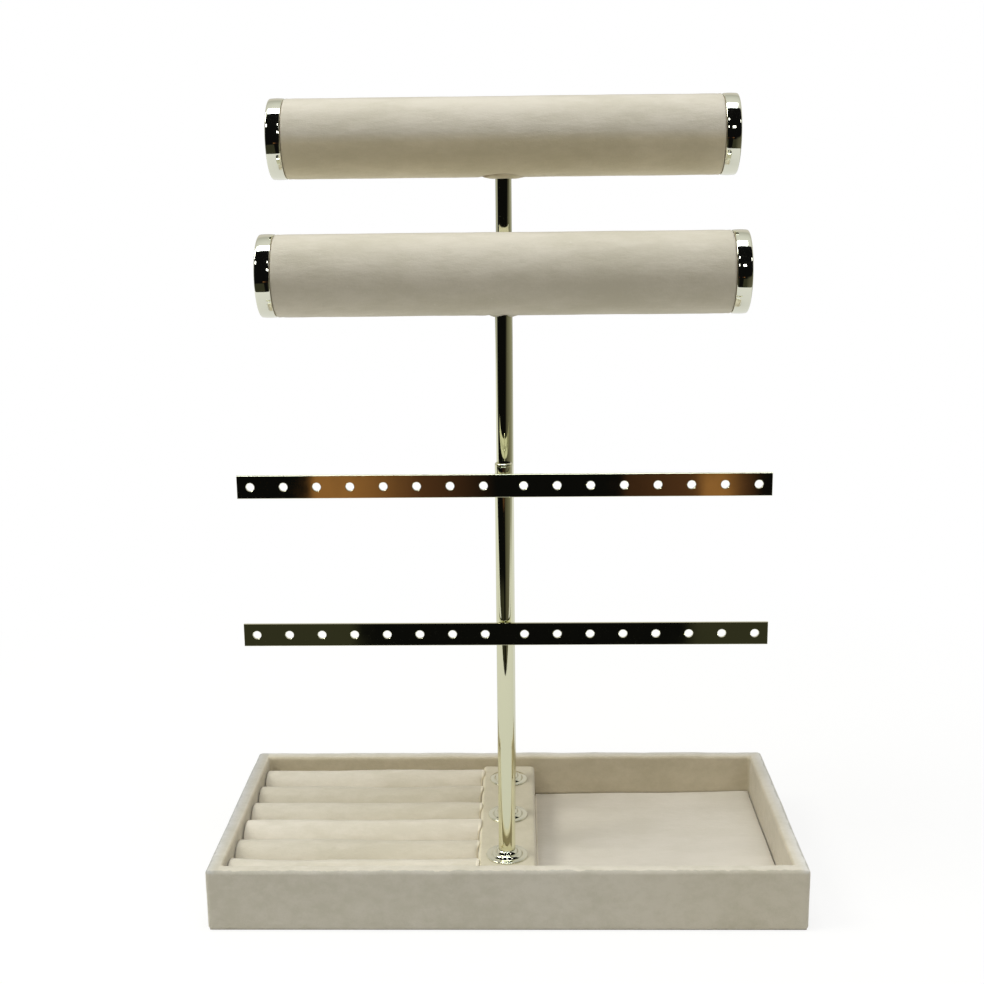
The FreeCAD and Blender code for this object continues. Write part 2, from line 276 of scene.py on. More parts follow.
def crossing(*strips):
    """The place where all of these strips cross."""
    def where(tree, place):
        return product(tree, *[each(tree, place) for each in strips])
    return where


rim_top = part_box("tray_velvet_wrap")[1].z
top_of_rim = strip("Z", rim_top - 1.8 * MM, rim_top - 0.8 * MM)
print("top of the rim in mm:", round(rim_top / MM, 1))

# %% Places on the tray
FOLD_MM = 5
FOLD_UNEVEN = 0.9 * MM
tray_reaches = (("X", cad_high.x), ("Y", cad_high.y))


def from_middle(tree, place):
    """How far a point is from the middle of the tray along each axis, as sockets."""
    away = add_node(tree, "ShaderNodeVectorMath", {0: place}, operation="ABSOLUTE").outputs["Vector"]
    return sides_of(tree, away)


def outside_walls(tree, place):
    """1 on the outside of the tray's walls and 0 from the top of the rim inwards, with an uneven edge."""
    sides = from_middle(tree, place)
    uneven = between(tree, cloud(tree, place, FOLD_MM, detail=3.0), 0.35, 0.65, 0.0, FOLD_UNEVEN)
    shares = []
    for axis, reach in tray_reaches:
        depth = maths(tree, "ADD", sides[axis], uneven)
        shares.append(between(tree, depth, reach - 1.0 * MM, reach - 0.5 * MM))
    return maths(tree, "MAXIMUM", *shares)


def inside_walls(tree, place):
    """1 on the inner faces of the tray's walls."""
    sides = from_middle(tree, place)
    shares = []
    for axis, reach in tray_reaches:
        shares.append(between(tree, sides[axis], reach - 5.8 * MM, reach - 6.6 * MM))
    return product(tree, *shares)


def outer_edges(tree, place):
    """The outer half of the left, right and back rims, where a pale sheen is painted."""
    sides = sides_of(tree, place)
    ends = between(tree, maths(tree, "ABSOLUTE", sides["X"]), cad_high.x - 5 * MM, cad_high.x - 1.5 * MM)
    back = between(tree, sides["Y"], cad_high.y - 5 * MM, cad_high.y - 1.5 * MM)
    return product(tree, top_of_rim(tree, place), maths(tree, "MAXIMUM", ends, back))


left_rim = crossing(
    top_of_rim,
    strip("X", cad_low.x + 6.4 * MM, cad_low.x + 5.2 * MM),
    strip("Y", cad_low.y + 8 * MM, cad_low.y + 45 * MM, 0.35, 0.8),
)
right_outside = crossing(outside_walls, strip("X", 20 * MM, 110 * MM))
print("places on the tray: outside walls, inside walls, outer edges, left rim, right outside")

# %% Places on the block, the pad and the cushions
CUSHION_BRUSHED = (0.33, 0.78, 0.0, 0.7, 1.0, 0.28)
block_low, block_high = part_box("post_block_velvet")
pad_box_low, pad_box_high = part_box("compartment_pad")


def brushed_cushions(tree, place):
    """How far the pile of each ring cushion is brushed aside, with one step of a ramp for each cushion."""
    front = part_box("ring_roll_1")[0].y
    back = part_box("ring_roll_6")[1].y
    along = between(tree, sides_of(tree, place)["Y"], front, back)
    count = len(CUSHION_BRUSHED)
    stops = [(number / count, (share, share, share, 1)) for number, share in enumerate(CUSHION_BRUSHED)]
    return ramp(tree, along, stops, "CONSTANT")


# Painted light on the block's left edge, where shade falls in the seam.
block_left_edge = strip("X", block_low.x + 1.8 * MM, block_low.x + 0.6 * MM)
# Painted warm light on the block's top.
block_lid = strip("Z", block_high.z - 2.2 * MM, block_high.z - 1.2 * MM)
# Painted light along the block's right foot, where shade falls in the seam.
block_right_foot = crossing(
    strip("X", block_high.x - 0.6 * MM, block_high.x - 0.2 * MM),
    strip("Z", pad_box_high.z + 1.5 * MM, pad_box_high.z),
)
# Painted shade: the pad grows darker towards the back.
pad_back_shade = strip("Y", -55 * MM, -5 * MM, 0.0, 0.28)
# Painted light along the pad's seam by the block.
pad_seam = strip("X", pad_box_low.x + 0.9 * MM, pad_box_low.x + 0.2 * MM)
cushions_rightward = strip("X", -110 * MM, -30 * MM)
# Painted light on the cushions' ends by the block, where shade falls in the seam.
cushion_ends = crossing(
    strip("X", block_low.x - 0.9 * MM, block_low.x - 0.25 * MM),
    strip("Z", block_high.z + 1.8 * MM, block_high.z + 0.6 * MM),
)
print("brushed shares of the cushions:", CUSHION_BRUSHED)

# %% Places on the upper roll
SEAT_UPPER = 10.5 * MM
SEAT_LOWER = 7.0 * MM
SEAT_OVAL = 1.45


def crease_shade_round_post(tree, place):
    """1 along the crease round the rear post, on the underside of the roll, fading to its right; a painted
    shadow.
    """
    post_low, post_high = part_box("rear_post")
    post_middle = (post_low + post_high) / 2
    inputs = {0: place, 1: (post_middle.x, post_middle.y, post_high.z)}
    away = add_node(tree, "ShaderNodeVectorMath", inputs, operation="SUBTRACT").outputs["Vector"]
    sides = sides_of(tree, away)
    across = maths(tree, "MULTIPLY", sides["Y"], SEAT_OVAL)
    flat = add_node(tree, "ShaderNodeCombineXYZ", {"X": sides["X"], "Y": across}).outputs["Vector"]
    distance = add_node(tree, "ShaderNodeVectorMath", {0: flat}, operation="LENGTH").outputs["Value"]
    off_crease = maths(tree, "ABSOLUTE", maths(tree, "SUBTRACT", distance, SEAT_UPPER))
    on_crease = between(tree, off_crease, 0.4 * MM, 1.6 * MM, 1.0, 0.0)
    underside = between(tree, sides["Z"], 8 * MM, 4 * MM)
    leftward = between(tree, sides["X"], 9 * MM, -3 * MM, 0.35, 1.0)
    return product(tree, on_crease, underside, leftward)


roll_low, roll_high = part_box("upper_roll_sleeve")
roll_middle = (roll_low.z + roll_high.z) / 2
# Where painted warm bounce light goes, below the middle of the upper roll.
roll_below = strip("Z", roll_middle + 2 * MM, roll_middle - 3 * MM)
print("middle of the upper roll in mm:", round(roll_middle / MM, 1))

# %% [markdown]
# ## Six velvets
# All the velvet comes from one kind of cloth, but each piece was cut and brushed on its own. The long
# rolls have patches stretched along them, the pad is the lightest, the block is a little darker, and the
# upper roll is made a little lighter than the lower one, as painted light. The colours below multiply the
# pile in the places from above: below 1 is darker, above 1 paler, less blue is warmer. Most are painted
# shade or painted light; the seams get painted light, which lifts the shade that falls in them.

# %% Six velvets
# Painted shade on the outside of the tray's walls and towards the back of the pad.
PAINTED_SHADE = (0.75, 0.76, 0.785, 1)
# Darker and greyer on the left rim.
LEFT_RIM_DARKER = (0.73, 0.74, 0.76, 1)
BRUSHED_ASIDE = (0.83, 0.825, 0.79, 1)
# A warmer painted shade on the inner faces of the tray's walls.
SHADED_INSIDE = (0.95, 0.915, 0.83, 1)
# A painted pale sheen along the outer edges of the rims.
PAINTED_EDGE_SHEEN = (1.06, 1.11, 1.24, 1)
# A painted shadow in the crease round the rear post.
PAINTED_CREASE_SHADE = (0.50, 0.43, 0.34, 1)
# Painted light in the seams, which lifts the shade that falls in them.
PAINTED_SEAM_LIGHT = (1.35, 1.35, 1.33, 1)
# Painted warm bounce light on the underside of the upper roll.
PAINTED_WARM_BOUNCE = (1.04, 1.0, 0.87, 1)
# Painted warm light on the top of the block, as if thrown there by the gold flanges.
PAINTED_WARM_LID = (1.0, 0.98, 0.92, 1)
WARM_RIGHT = (0.98, 0.965, 0.92, 1)
LIGHTER_RIGHT = (1.07, 1.06, 1.05, 1)
ROLL_STROKE = (0.55, 1.3, 1.3)

tray_velvet = velvet_finish(
    "tray_velvet", patch_mm=9, stroke=(1.0, 1.4, 1.4), contrast=0.065, lint_from=0.86,
    shades=(
        (outside_walls, PAINTED_SHADE), (inside_walls, SHADED_INSIDE), (left_rim, LEFT_RIM_DARKER),
        (outer_edges, PAINTED_EDGE_SHEEN), (right_outside, WARM_RIGHT),
    ),
)
pad_velvet = velvet_finish(
    "pad_velvet", patch_mm=13, stroke=(0.55, 1.3, 1.0), contrast=0.045, lint_from=0.86, tone=1.12,
    shades=((pad_back_shade, PAINTED_SHADE), (pad_seam, PAINTED_SEAM_LIGHT)),
)
# Its tone of 1.04 is painted light: the upper roll is made lighter than the lower one.
upper_velvet = velvet_finish(
    "upper_velvet", patch_mm=11, stroke=ROLL_STROKE, contrast=0.060, lint_from=0.79, tone=1.04,
    shades=((crease_shade_round_post, PAINTED_CREASE_SHADE), (roll_below, PAINTED_WARM_BOUNCE)),
)
lower_velvet = velvet_finish(
    "lower_velvet", patch_mm=11, stroke=ROLL_STROKE, contrast=0.060, lint_from=0.79,
)
ring_velvet = velvet_finish(
    "ring_velvet", patch_mm=9, stroke=(0.7, 1.4, 1.4), contrast=0.060, lint_from=0.86, tone=1.06,
    shades=(
        (brushed_cushions, BRUSHED_ASIDE), (cushions_rightward, LIGHTER_RIGHT), (cushion_ends, PAINTED_SEAM_LIGHT),
    ),
)
block_velvet = velvet_finish(
    "block_velvet", patch_mm=9, stroke=(1.4, 1.0, 1.4), contrast=0.045, lint_from=0.86, tone=0.92,
    shades=((block_left_edge, PAINTED_SEAM_LIGHT), (block_right_foot, PAINTED_SEAM_LIGHT), (block_lid, PAINTED_WARM_LID)),
)
velvets = (tray_velvet, pad_velvet, upper_velvet, lower_velvet, ring_velvet, block_velvet)
print("velvets:", [velvet.name for velvet in velvets])

# %% [markdown]
# ## Pale gold plating
# The posts, bars, flanges and caps are polished and plated, close to a mirror with a faint champagne
# tint. What a mirror shows is its surroundings, so the finish itself stays simple: full metal, low
# roughness that drifts a little as thin plating does, and a very slight waviness in the bump, so that
# long reflections are not ruler-straight.

# %% Plated finishes
GOLD_TINT = (0.81, 0.81, 0.58, 1)
CAP_TINT = (0.885, 0.89, 0.745, 1)
FLANGE_TINT = (0.84, 0.84, 0.70, 1)
HAZE_MM = 9
HAZE_LEAST = 0.02
HAZE_MOST = 0.055


def plated_finish(name, tint, wave_mm, wave_strength):
    finish, tree, shader = start_finish(name, Base_Color=tint, Metallic=1.0)
    place = object_place(tree)
    blotches = cloud(tree, place, HAZE_MM, detail=3.0)
    haze = between(tree, blotches, 0.3, 0.7, HAZE_LEAST, HAZE_MOST)
    tree.links.new(haze, shader.inputs["Roughness"])
    bumpy(tree, shader, cloud(tree, place, wave_mm, detail=1.0), wave_strength, depth_mm=0.2)
    return finish


post_plating = plated_finish("post_plating", GOLD_TINT, wave_mm=30, wave_strength=0.10)
bar_plating = plated_finish("bar_plating", GOLD_TINT, wave_mm=24, wave_strength=0.05)
cap_plating = plated_finish("cap_plating", CAP_TINT, wave_mm=14, wave_strength=0.12)
flange_plating = plated_finish("flange_plating", FLANGE_TINT, wave_mm=5, wave_strength=0.30)
print("platings:", post_plating.name, bar_plating.name, cap_plating.name, flange_plating.name)

# %% [markdown]
# ## Finishes for what is mostly hidden
# The boards, card, hubs and screws show only from below or when a piece is lifted out, but a part that
# can be taken apart deserves them. Each has the one thing its material is known by: fibres in board,
# layers in card, rings in turned wood, fluff in felt, fine scratches in zinc.

# %% Plain finishes
def speckled_finish(name, first, second, size_mm, roughness, metallic=0.0, stretch=None):
    """Two tones mixed by noise, with a bump from the same noise."""
    finish, tree, shader = start_finish(name, Roughness=roughness, Metallic=metallic)
    grain = cloud(tree, object_place(tree), size_mm, detail=5.0, stretch=stretch)
    colour = blend_colours(tree, between(tree, grain, 0.3, 0.7), (*first, 1), (*second, 1))
    tree.links.new(colour, shader.inputs["Base Color"])
    bumpy(tree, shader, grain, strength=0.3, depth_mm=0.2)
    return finish


plain_finishes = {
    "board": speckled_finish(
        "fibreboard", (0.40, 0.28, 0.17), (0.52, 0.39, 0.26), size_mm=1.5, roughness=0.85),
    "card": speckled_finish(
        "grey_card", (0.38, 0.30, 0.21), (0.48, 0.39, 0.28), size_mm=2.5, roughness=0.9, stretch=(1, 1, 6)),
    "felt": speckled_finish(
        "underside_felt", (0.36, 0.33, 0.27), (0.47, 0.43, 0.35), size_mm=1.0, roughness=1.0),
    "hub_wood": speckled_finish(
        "turned_wood", (0.46, 0.32, 0.19), (0.62, 0.47, 0.30), size_mm=6, roughness=0.7,
        stretch=(0.2, 1, 1)),
    "zinc_steel": speckled_finish(
        "zinc", (0.55, 0.56, 0.57), (0.68, 0.69, 0.70), size_mm=0.8, roughness=0.35, metallic=1.0,
        stretch=(1, 1, 0.1)),
    "plated_plastic": cap_plating,
    "plated_steel": post_plating,
    "velvet": tray_velvet,
    "padded_velvet": ring_velvet,
}
slot_of = {row["node"]: row["material_slot"] for row in frame["record"]["subparts"]}
for node_name, solid in frame["nodes"].items():
    solid.data.materials.clear()
    solid.data.materials.append(plain_finishes[slot_of[node_name]])
print("solids finished:", len(slot_of))

# %% [markdown]
# ## Meshes from rows of points
# Most soft pieces here are a skin: rows of points, joined to the next row by four-sided faces. A ring
# around the tray, a tube around a roll and an arch along a ring cushion all fit this. Quads in rows
# bend smoothly, and each point can be nudged by a little noise so that no edge is ruler-straight.

# %% Skin helpers
def skin_faces(rows, columns, close_rows, close_columns):
    faces = []
    for row in range(rows if close_rows else rows - 1):
        for column in range(columns if close_columns else columns - 1):
            a = row * columns + column
            b = row * columns + (column + 1) % columns
            below = (row + 1) % rows
            faces.append((a, b, below * columns + (column + 1) % columns, below * columns + column))
    return faces


def wobble(point, wavelength_mm, height_mm, seed):
    """A smooth bump between minus and plus height_mm, the same on every run."""
    spot = point / (wavelength_mm * MM) + Vector((seed * 17.3, seed * 5.1, seed * 9.7))
    return noise.noise(spot) * height_mm * MM


def steps(start, end, count):
    return [start + (end - start) * index / count for index in range(count + 1)]


def eased(share):
    """0 below 0 and 1 above 1, with a smooth rise between them."""
    share = min(1.0, max(0.0, share))
    return share * share * (3 - 2 * share)


print("five steps from 0 to 1:", steps(0, 1, 5))

# %% Piece helper
def make_piece(name, points, faces, finish, body, slot, *nodes):
    """A smooth mesh that rides on a body and stands for the CAD nodes it replaces."""
    mesh = bpy.data.meshes.new(name)
    mesh.from_pydata(points, [], faces)
    shape = bmesh.new()
    shape.from_mesh(mesh)
    bmesh.ops.recalc_face_normals(shape, faces=shape.faces)
    shape.to_mesh(mesh)
    shape.free()
    mesh.shade_smooth()
    mesh.materials.append(finish)
    piece = bpy.data.objects.new(name, mesh)
    scene.collection.objects.link(piece)
    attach(piece, body)
    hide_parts(*nodes)
    return piece


# %% [markdown]
# ## The tray's velvet
# One sheet of velvet runs up the outside of each wall, over the rim and down the inside. A box with
# bevels would be too crisp: glued velvet is rounded at every edge and never quite straight. So a closed
# outline, the cut you would see across one wall, is carried round a rectangle with soft corners. The
# velvet gets a slow wobble, strongest at the rim and fading down the inside, and its hidden side stays
# flat on the boards.

# %% Outline round a rectangle
TRAY_CORNER = 2.4 * MM
LONG_STEPS = 110
SHORT_STEPS = 56
CORNER_STEPS = 6


def rectangle_loop(half_x, half_y, corner):
    """Points and outward directions round a rectangle with round corners, the same number for any size."""
    loop = []
    corners = [(1, -1, -90), (1, 1, 0), (-1, 1, 90), (-1, -1, 180)]
    for index, (side_x, side_y, start_angle) in enumerate(corners):
        centre = Vector((side_x * (half_x - corner), side_y * (half_y - corner), 0))
        for angle in steps(math.radians(start_angle), math.radians(start_angle + 90), CORNER_STEPS):
            out = Vector((math.cos(angle), math.sin(angle), 0))
            loop.append((centre + out * corner, out))
        next_x, next_y, _ = corners[(index + 1) % 4]
        next_centre = Vector((next_x * (half_x - corner), next_y * (half_y - corner), 0))
        count = SHORT_STEPS if index % 2 == 0 else LONG_STEPS
        first = centre + out * corner
        for share in steps(0, 1, count)[1:-1]:
            loop.append((first.lerp(next_centre + out * corner, share), out))
    return loop


print("points round the tray:", len(rectangle_loop(cad_high.x, cad_high.y, TRAY_CORNER)))

# %% Cut across a tray wall
RIM_ROUND = 1.7 * MM
FOOT_ROUND = 1.0 * MM
wrap_low, wrap_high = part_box("tray_velvet_wrap")
wall_low, wall_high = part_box("tray_front_wall")
velvet_thick = wrap_high.z - wall_high.z
wall_thick = wall_high.y - wrap_low.y + velvet_thick
floor_z = wall_low.z


def wall_cut():
    """The cut across a wall as (inset from the outside, height, how much it may wobble)."""
    foot = wrap_low.z
    top = wrap_high.z
    quarter_turn = math.pi / 2
    cut = [(2 * velvet_thick, foot, 0.0), (FOOT_ROUND, foot, 0.3)]
    for angle in steps(0, quarter_turn, 3)[1:]:
        cut.append((FOOT_ROUND * (1 - math.sin(angle)), foot + FOOT_ROUND * (1 - math.cos(angle)), 0.4))
    for height in steps(foot + FOOT_ROUND, top - RIM_ROUND, 14)[1:]:
        cut.append((0.0, height, 0.7))
    for angle in steps(0, quarter_turn, 7)[1:]:
        cut.append((RIM_ROUND * (1 - math.cos(angle)), top - RIM_ROUND * (1 - math.sin(angle)), 1.0))
    for inset in steps(RIM_ROUND, wall_thick - RIM_ROUND, 3)[1:]:
        cut.append((inset, top, 0.8))
    for angle in steps(0, quarter_turn, 7)[1:]:
        inset = wall_thick - RIM_ROUND * (1 - math.sin(angle))
        cut.append((inset, top - RIM_ROUND * (1 - math.cos(angle)), 0.8))
    for height in steps(top - RIM_ROUND, floor_z, 9)[1:]:
        cut.append((wall_thick, height, 0.5 * (height - floor_z) / (top - floor_z)))
    cut.append((wall_thick - velvet_thick, floor_z, 0.0))
    cut.append((wall_thick - velvet_thick, wall_high.z, 0.0))
    cut.append((velvet_thick, wall_high.z, 0.0))
    cut.append((velvet_thick, foot + velvet_thick, 0.0))
    cut.append((2 * velvet_thick, foot + velvet_thick / 2, 0.0))
    return cut


print("points across a wall:", len(wall_cut()))

# %% Tray velvet
INSIDE_CORNER = 1.6 * MM


def tray_velvet_points():
    points = []
    for inset, height, give in wall_cut():
        half_x = wrap_high.x - inset
        half_y = wrap_high.y - inset
        corner = max(TRAY_CORNER - inset, INSIDE_CORNER)
        for place, out in rectangle_loop(half_x, half_y, corner):
            spot = Vector((place.x, place.y, height))
            sway = wobble(spot, wavelength_mm=34, height_mm=0.30, seed=1)
            sway += wobble(spot, wavelength_mm=11, height_mm=0.12, seed=2)
            lift = wobble(spot, wavelength_mm=27, height_mm=0.34, seed=3)
            lift += wobble(spot, wavelength_mm=9, height_mm=0.22, seed=4)
            rim_share = max(0.0, 1 - (wrap_high.z - height) / (2 * RIM_ROUND))
            points.append(spot + out * (sway * give) + Vector((0, 0, lift * give * rim_share)))
    return points


wrap_rows = len(wall_cut())
wrap_points = tray_velvet_points()
wrap_columns = len(wrap_points) // wrap_rows
wrap_faces = skin_faces(wrap_rows, wrap_columns, True, True)
make_piece("tray_wrap", wrap_points, wrap_faces, tray_velvet, "tray", "velvet", "tray_velvet_wrap")
print("tray velvet:", len(wrap_points), "points")

# %% [markdown]
# ## The centre block's velvet
# The block under the posts is wrapped like a small parcel. A cube with a bevel would do for a hard
# block. For a soft one, a box of grid points is pulled in towards a smaller box inside it, so that the
# top and upright edges become round, and then the top is given a slow dip. The foot stays square: it
# stands on the floor of the tray, and a round foot would leave a dark groove beside the pad.

# %% Soft box
def box_grid(xs, ys, zs):
    """The surface of a box as grid points and quads, from the places of the grid lines on each axis."""
    index_of = {}
    points = []
    faces = []

    def at(i, j, k):
        key = (i, j, k)
        if key not in index_of:
            index_of[key] = len(points)
            points.append(Vector((xs[i], ys[j], zs[k])))
        return index_of[key]

    last = (len(xs) - 1, len(ys) - 1, len(zs) - 1)
    for k, flip in ((0, True), (last[2], False)):
        for i in range(last[0]):
            for j in range(last[1]):
                quad = [at(i, j, k), at(i + 1, j, k), at(i + 1, j + 1, k), at(i, j + 1, k)]
                faces.append(quad[::-1] if flip else quad)
    for j, flip in ((0, False), (last[1], True)):
        for i in range(last[0]):
            for k in range(last[2]):
                quad = [at(i, j, k), at(i + 1, j, k), at(i + 1, j, k + 1), at(i, j, k + 1)]
                faces.append(quad[::-1] if flip else quad)
    for i, flip in ((0, True), (last[0], False)):
        for j in range(last[1]):
            for k in range(last[2]):
                quad = [at(i, j, k), at(i, j + 1, k), at(i, j + 1, k + 1), at(i, j, k + 1)]
                faces.append(quad[::-1] if flip else quad)
    return points, faces


def grid_lines(low, high, round_size, middle_count, round_count=5):
    """Grid lines from low to high, close together where the edges are rounded."""
    near = [low + round_size * (1 - math.cos(a)) for a in steps(0, math.pi / 2, round_count)]
    far = [high - (value - low) for value in near[::-1]]
    return near + steps(near[-1], far[0], middle_count)[1:-1] + far


def pulled_round(point, low, high, radius):
    """The point moved onto the box whose edges have that radius."""
    core = Vector(min(max(point[a], low[a] + radius), high[a] - radius) for a in range(3))
    away = point - core
    if away.length < 1e-9:
        return point
    return core + away.normalized() * radius


print("grid lines over 28 mm:", len(grid_lines(0, 28, 3, 10)))

# %% Block velvet
BLOCK_ROUND = 2.2 * MM
block_grid, block_faces = box_grid(
    grid_lines(block_low.x, block_high.x, BLOCK_ROUND, 12),
    grid_lines(block_low.y, block_high.y, BLOCK_ROUND, 60),
    grid_lines(block_low.z, block_high.z, BLOCK_ROUND, 6),
)
below_foot = Vector((0, 0, BLOCK_ROUND))
block_points = []
for spot in block_grid:
    soft_spot = pulled_round(spot, block_low - below_foot, block_high, BLOCK_ROUND)
    rise = (soft_spot.z - block_low.z) / (block_high.z - block_low.z)
    sway = wobble(soft_spot, wavelength_mm=16, height_mm=0.06, seed=5) * rise
    lift = min(0.0, wobble(soft_spot, wavelength_mm=22, height_mm=0.25, seed=6)) * rise
    block_points.append(soft_spot + Vector((sway, 0, lift)))
make_piece("block_wrap", block_points, block_faces, block_velvet, "tray", "velvet", "post_block_velvet")
print("block velvet:", len(block_points), "points")

# %% [markdown]
# ## The compartment's floor pad
# A thin card wrapped in velvet lies on the floor of the open side. It is nearly flat, but the wrapped
# card springs up a little here and there, most of all along its back edge against the wall. A soft box
# does for it too, with small round corners so that it stays clear of the tray's soft inner corners.

# %% Floor pad
PAD_ROUND = 0.6 * MM
PAD_REACH = Vector((0.5, 0.5, 0)) * MM
PAD_CURL = 0.9 * MM
PAD_CURL_WIDTH = 7 * MM
PAD_CORNER = 2.2 * MM
pad_low = pad_box_low - PAD_REACH
pad_high = pad_box_high + PAD_REACH


def round_cornered(point, low, high, radius):
    """The point drawn in where it stands outside a rectangle with round corners, seen from above."""
    core_x = min(max(point.x, low.x + radius), high.x - radius)
    core_y = min(max(point.y, low.y + radius), high.y - radius)
    away = Vector((point.x - core_x, point.y - core_y, 0))
    if away.length <= radius:
        return point
    return point - away * (1 - radius / away.length)


pad_grid, pad_faces = box_grid(
    grid_lines(pad_low.x, pad_high.x, PAD_ROUND, 44, 3),
    grid_lines(pad_low.y, pad_high.y, PAD_ROUND, 46, 3),
    grid_lines(pad_low.z, pad_high.z, PAD_ROUND, 1, 3),
)
pad_points = []
for spot in pad_grid:
    soft_spot = pulled_round(spot, pad_low, pad_high, PAD_ROUND)
    soft_spot = round_cornered(soft_spot, pad_low, pad_high, PAD_CORNER)
    rise = (soft_spot.z - pad_low.z) / (pad_high.z - pad_low.z)
    lift = wobble(soft_spot, wavelength_mm=48, height_mm=0.55, seed=7)
    lift += wobble(soft_spot, wavelength_mm=17, height_mm=0.15, seed=8)
    near_back = max(0.0, 1 - (pad_high.y - soft_spot.y) / PAD_CURL_WIDTH)
    sprung = near_back * min(1.0, soft_spot.x / pad_high.x)
    sway = wobble(soft_spot, wavelength_mm=30, height_mm=0.10, seed=9)
    pad_points.append(soft_spot + Vector((sway, sway, lift * rise + PAD_CURL * sprung * sprung)))
pad = make_piece("floor_pad", pad_points, pad_faces, pad_velvet, "tray", "velvet", "compartment_pad")
print("floor pad:", len(pad_points), "points")

# %% [markdown]
# ## Ring cushions
# Six foam rolls lie side by side on a card, each in its own velvet. Foam under tight cloth is a small
# cushion: round on top, flat where it is glued, tucked in at both ends. At the centre block the soft
# end bulges over the block's round edge. Each cushion starts as an arch a little slimmer than the real
# one, closed at both ends by smaller and smaller copies of its end ring, so that it has points enough
# to swell evenly.

# %% Ring cushion outline
CUSHION_ARCH_STEPS = 20
CUSHION_END_SHARES = (0.9, 0.8, 0.7, 0.5, 0.25, 0.08)
CUSHION_BULGE = 1.5 * MM
CUSHION_BULGE_LENGTH = 5 * MM
BULGE_FROM = 1.4 * MM
BULGE_RISE = 2.1 * MM


def cushion_ring(x, low, high, inset, crown):
    """One arch-shaped ring of points at x, standing flat on the card."""
    radius = (high.y - low.y) / 2 - inset
    middle_y = (high.y + low.y) / 2
    spring_z = high.z - (high.y - low.y) / 2
    ring = [Vector((x, middle_y + radius, z)) for z in steps(low.z, spring_z, 4)[:-1]]
    for angle in steps(0, math.pi, CUSHION_ARCH_STEPS):
        rise = (radius + crown) * math.sin(angle)
        ring.append(Vector((x, middle_y + radius * math.cos(angle), spring_z + rise)))
    ring += [Vector((x, middle_y - radius, z)) for z in steps(spring_z, low.z, 4)[1:]]
    ring += [Vector((x, y, low.z)) for y in steps(middle_y - radius, middle_y + radius, 8)[1:-1]]
    return ring


def end_cover(ring):
    """Smaller and smaller copies of an end ring, which cover the end of a cushion."""
    middle = sum(ring, Vector()) / len(ring)
    return [[middle.lerp(spot, share) for spot in ring] for share in CUSHION_END_SHARES]


def end_bulge(spot, end_x):
    """How far a cushion's soft end bulges over the rounded edge of the centre block."""
    above_edge = eased((spot.z - (block_high.z - BULGE_FROM)) / BULGE_RISE)
    near_end = eased(1 - (end_x - spot.x) / CUSHION_BULGE_LENGTH)
    return CUSHION_BULGE * above_edge * near_end


print("points in a cushion ring:", len(cushion_ring(0, *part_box("ring_roll_1"), 0, 0)))

# %% Ring cushion shapes
CUSHION_START_INSET = 0.5 * MM
CUSHION_END_ROUND = 1.0 * MM
CUSHION_REACH = 0.15 * MM
CUSHION_CROWN = 0.5 * MM
CUSHION_SETTLE = (0.2 * MM, -0.7 * MM, 0.5 * MM, 0.1 * MM, -0.4 * MM, 0.1 * MM)
CUSHION_STATIONS = 56
CUSHION_APART = 0.05


def cushion_stations(low_x, high_x):
    """Places along a cushion as (x, inset), with rounded ends."""
    turns = steps(0, math.pi / 2, 4)
    near = [(CUSHION_END_ROUND * (1 - math.cos(a)), CUSHION_END_ROUND * (1 - math.sin(a))) for a in turns]
    inner = steps(low_x + CUSHION_END_ROUND, high_x - CUSHION_END_ROUND, CUSHION_STATIONS)[1:-1]
    stations = [(low_x + along, inset) for along, inset in near]
    stations += [(x, 0.0) for x in inner]
    return stations + [(high_x - along, inset) for along, inset in near[::-1]]


def cushion(number):
    low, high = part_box(f"ring_roll_{number}")
    high.x += CUSHION_REACH
    rings = []
    for x, inset in cushion_stations(low.x, high.x):
        crown = CUSHION_CROWN * math.sin(math.pi * (x - low.x) / (high.x - low.x))
        rings.append(cushion_ring(x, low, high, inset + CUSHION_START_INSET, crown))
    rings = end_cover(rings[0])[::-1] + rings + end_cover(rings[-1])
    points = []
    for spot in sum(rings, []):
        share = (spot.x - low.x) / (high.x - low.x)
        rise = (spot.z - low.z) / (high.z - low.z)
        along = Vector((spot.x, number * CUSHION_APART, 0))
        along_too = Vector((spot.x, number * CUSHION_APART, 0.2))
        lift = wobble(along, wavelength_mm=42, height_mm=0.9, seed=10)
        lift += wobble(spot, wavelength_mm=13, height_mm=0.25, seed=12)
        sway = wobble(along_too, wavelength_mm=30, height_mm=0.6, seed=11)
        settle = CUSHION_SETTLE[number - 1] * share
        spot += Vector((0, sway * rise, lift * rise + settle * rise))
        points.append(spot + Vector((end_bulge(spot, high.x), 0, 0)))
    columns = len(rings[0])
    faces = skin_faces(len(rings), columns, False, True)
    faces.append(list(range(columns))[::-1])
    faces.append([(len(rings) - 1) * columns + column for column in range(columns)])
    name = f"ring_cushion_{number}"
    node = f"ring_roll_{number}"
    piece = make_piece(name, points, faces, ring_velvet, "ring_insert", "padded_velvet", node)
    return piece


cushions = [cushion(number) for number in range(1, 7)]
print("cushions:", len(cushions), "with", len(cushions[0].data.vertices), "points each")

# %% [markdown]
# ## Let the cushions and the pad swell
# Foam pushes its cover out until the cloth is tight. Sculpting that by hand would look the same on
# every cushion, so a cloth simulation with air pressure inside does it, and each piece settles into its
# own shape. The points that are glued down are held. Each move is held to a small limit, because foam
# gives little, and afterwards a point is pressed back where the wall, a neighbour or the block is in
# its way.

# %% Air inside
SWELL_FRAMES = 20
CLOTH_WEIGHT = 0.002
CLOTH_QUALITY = 8


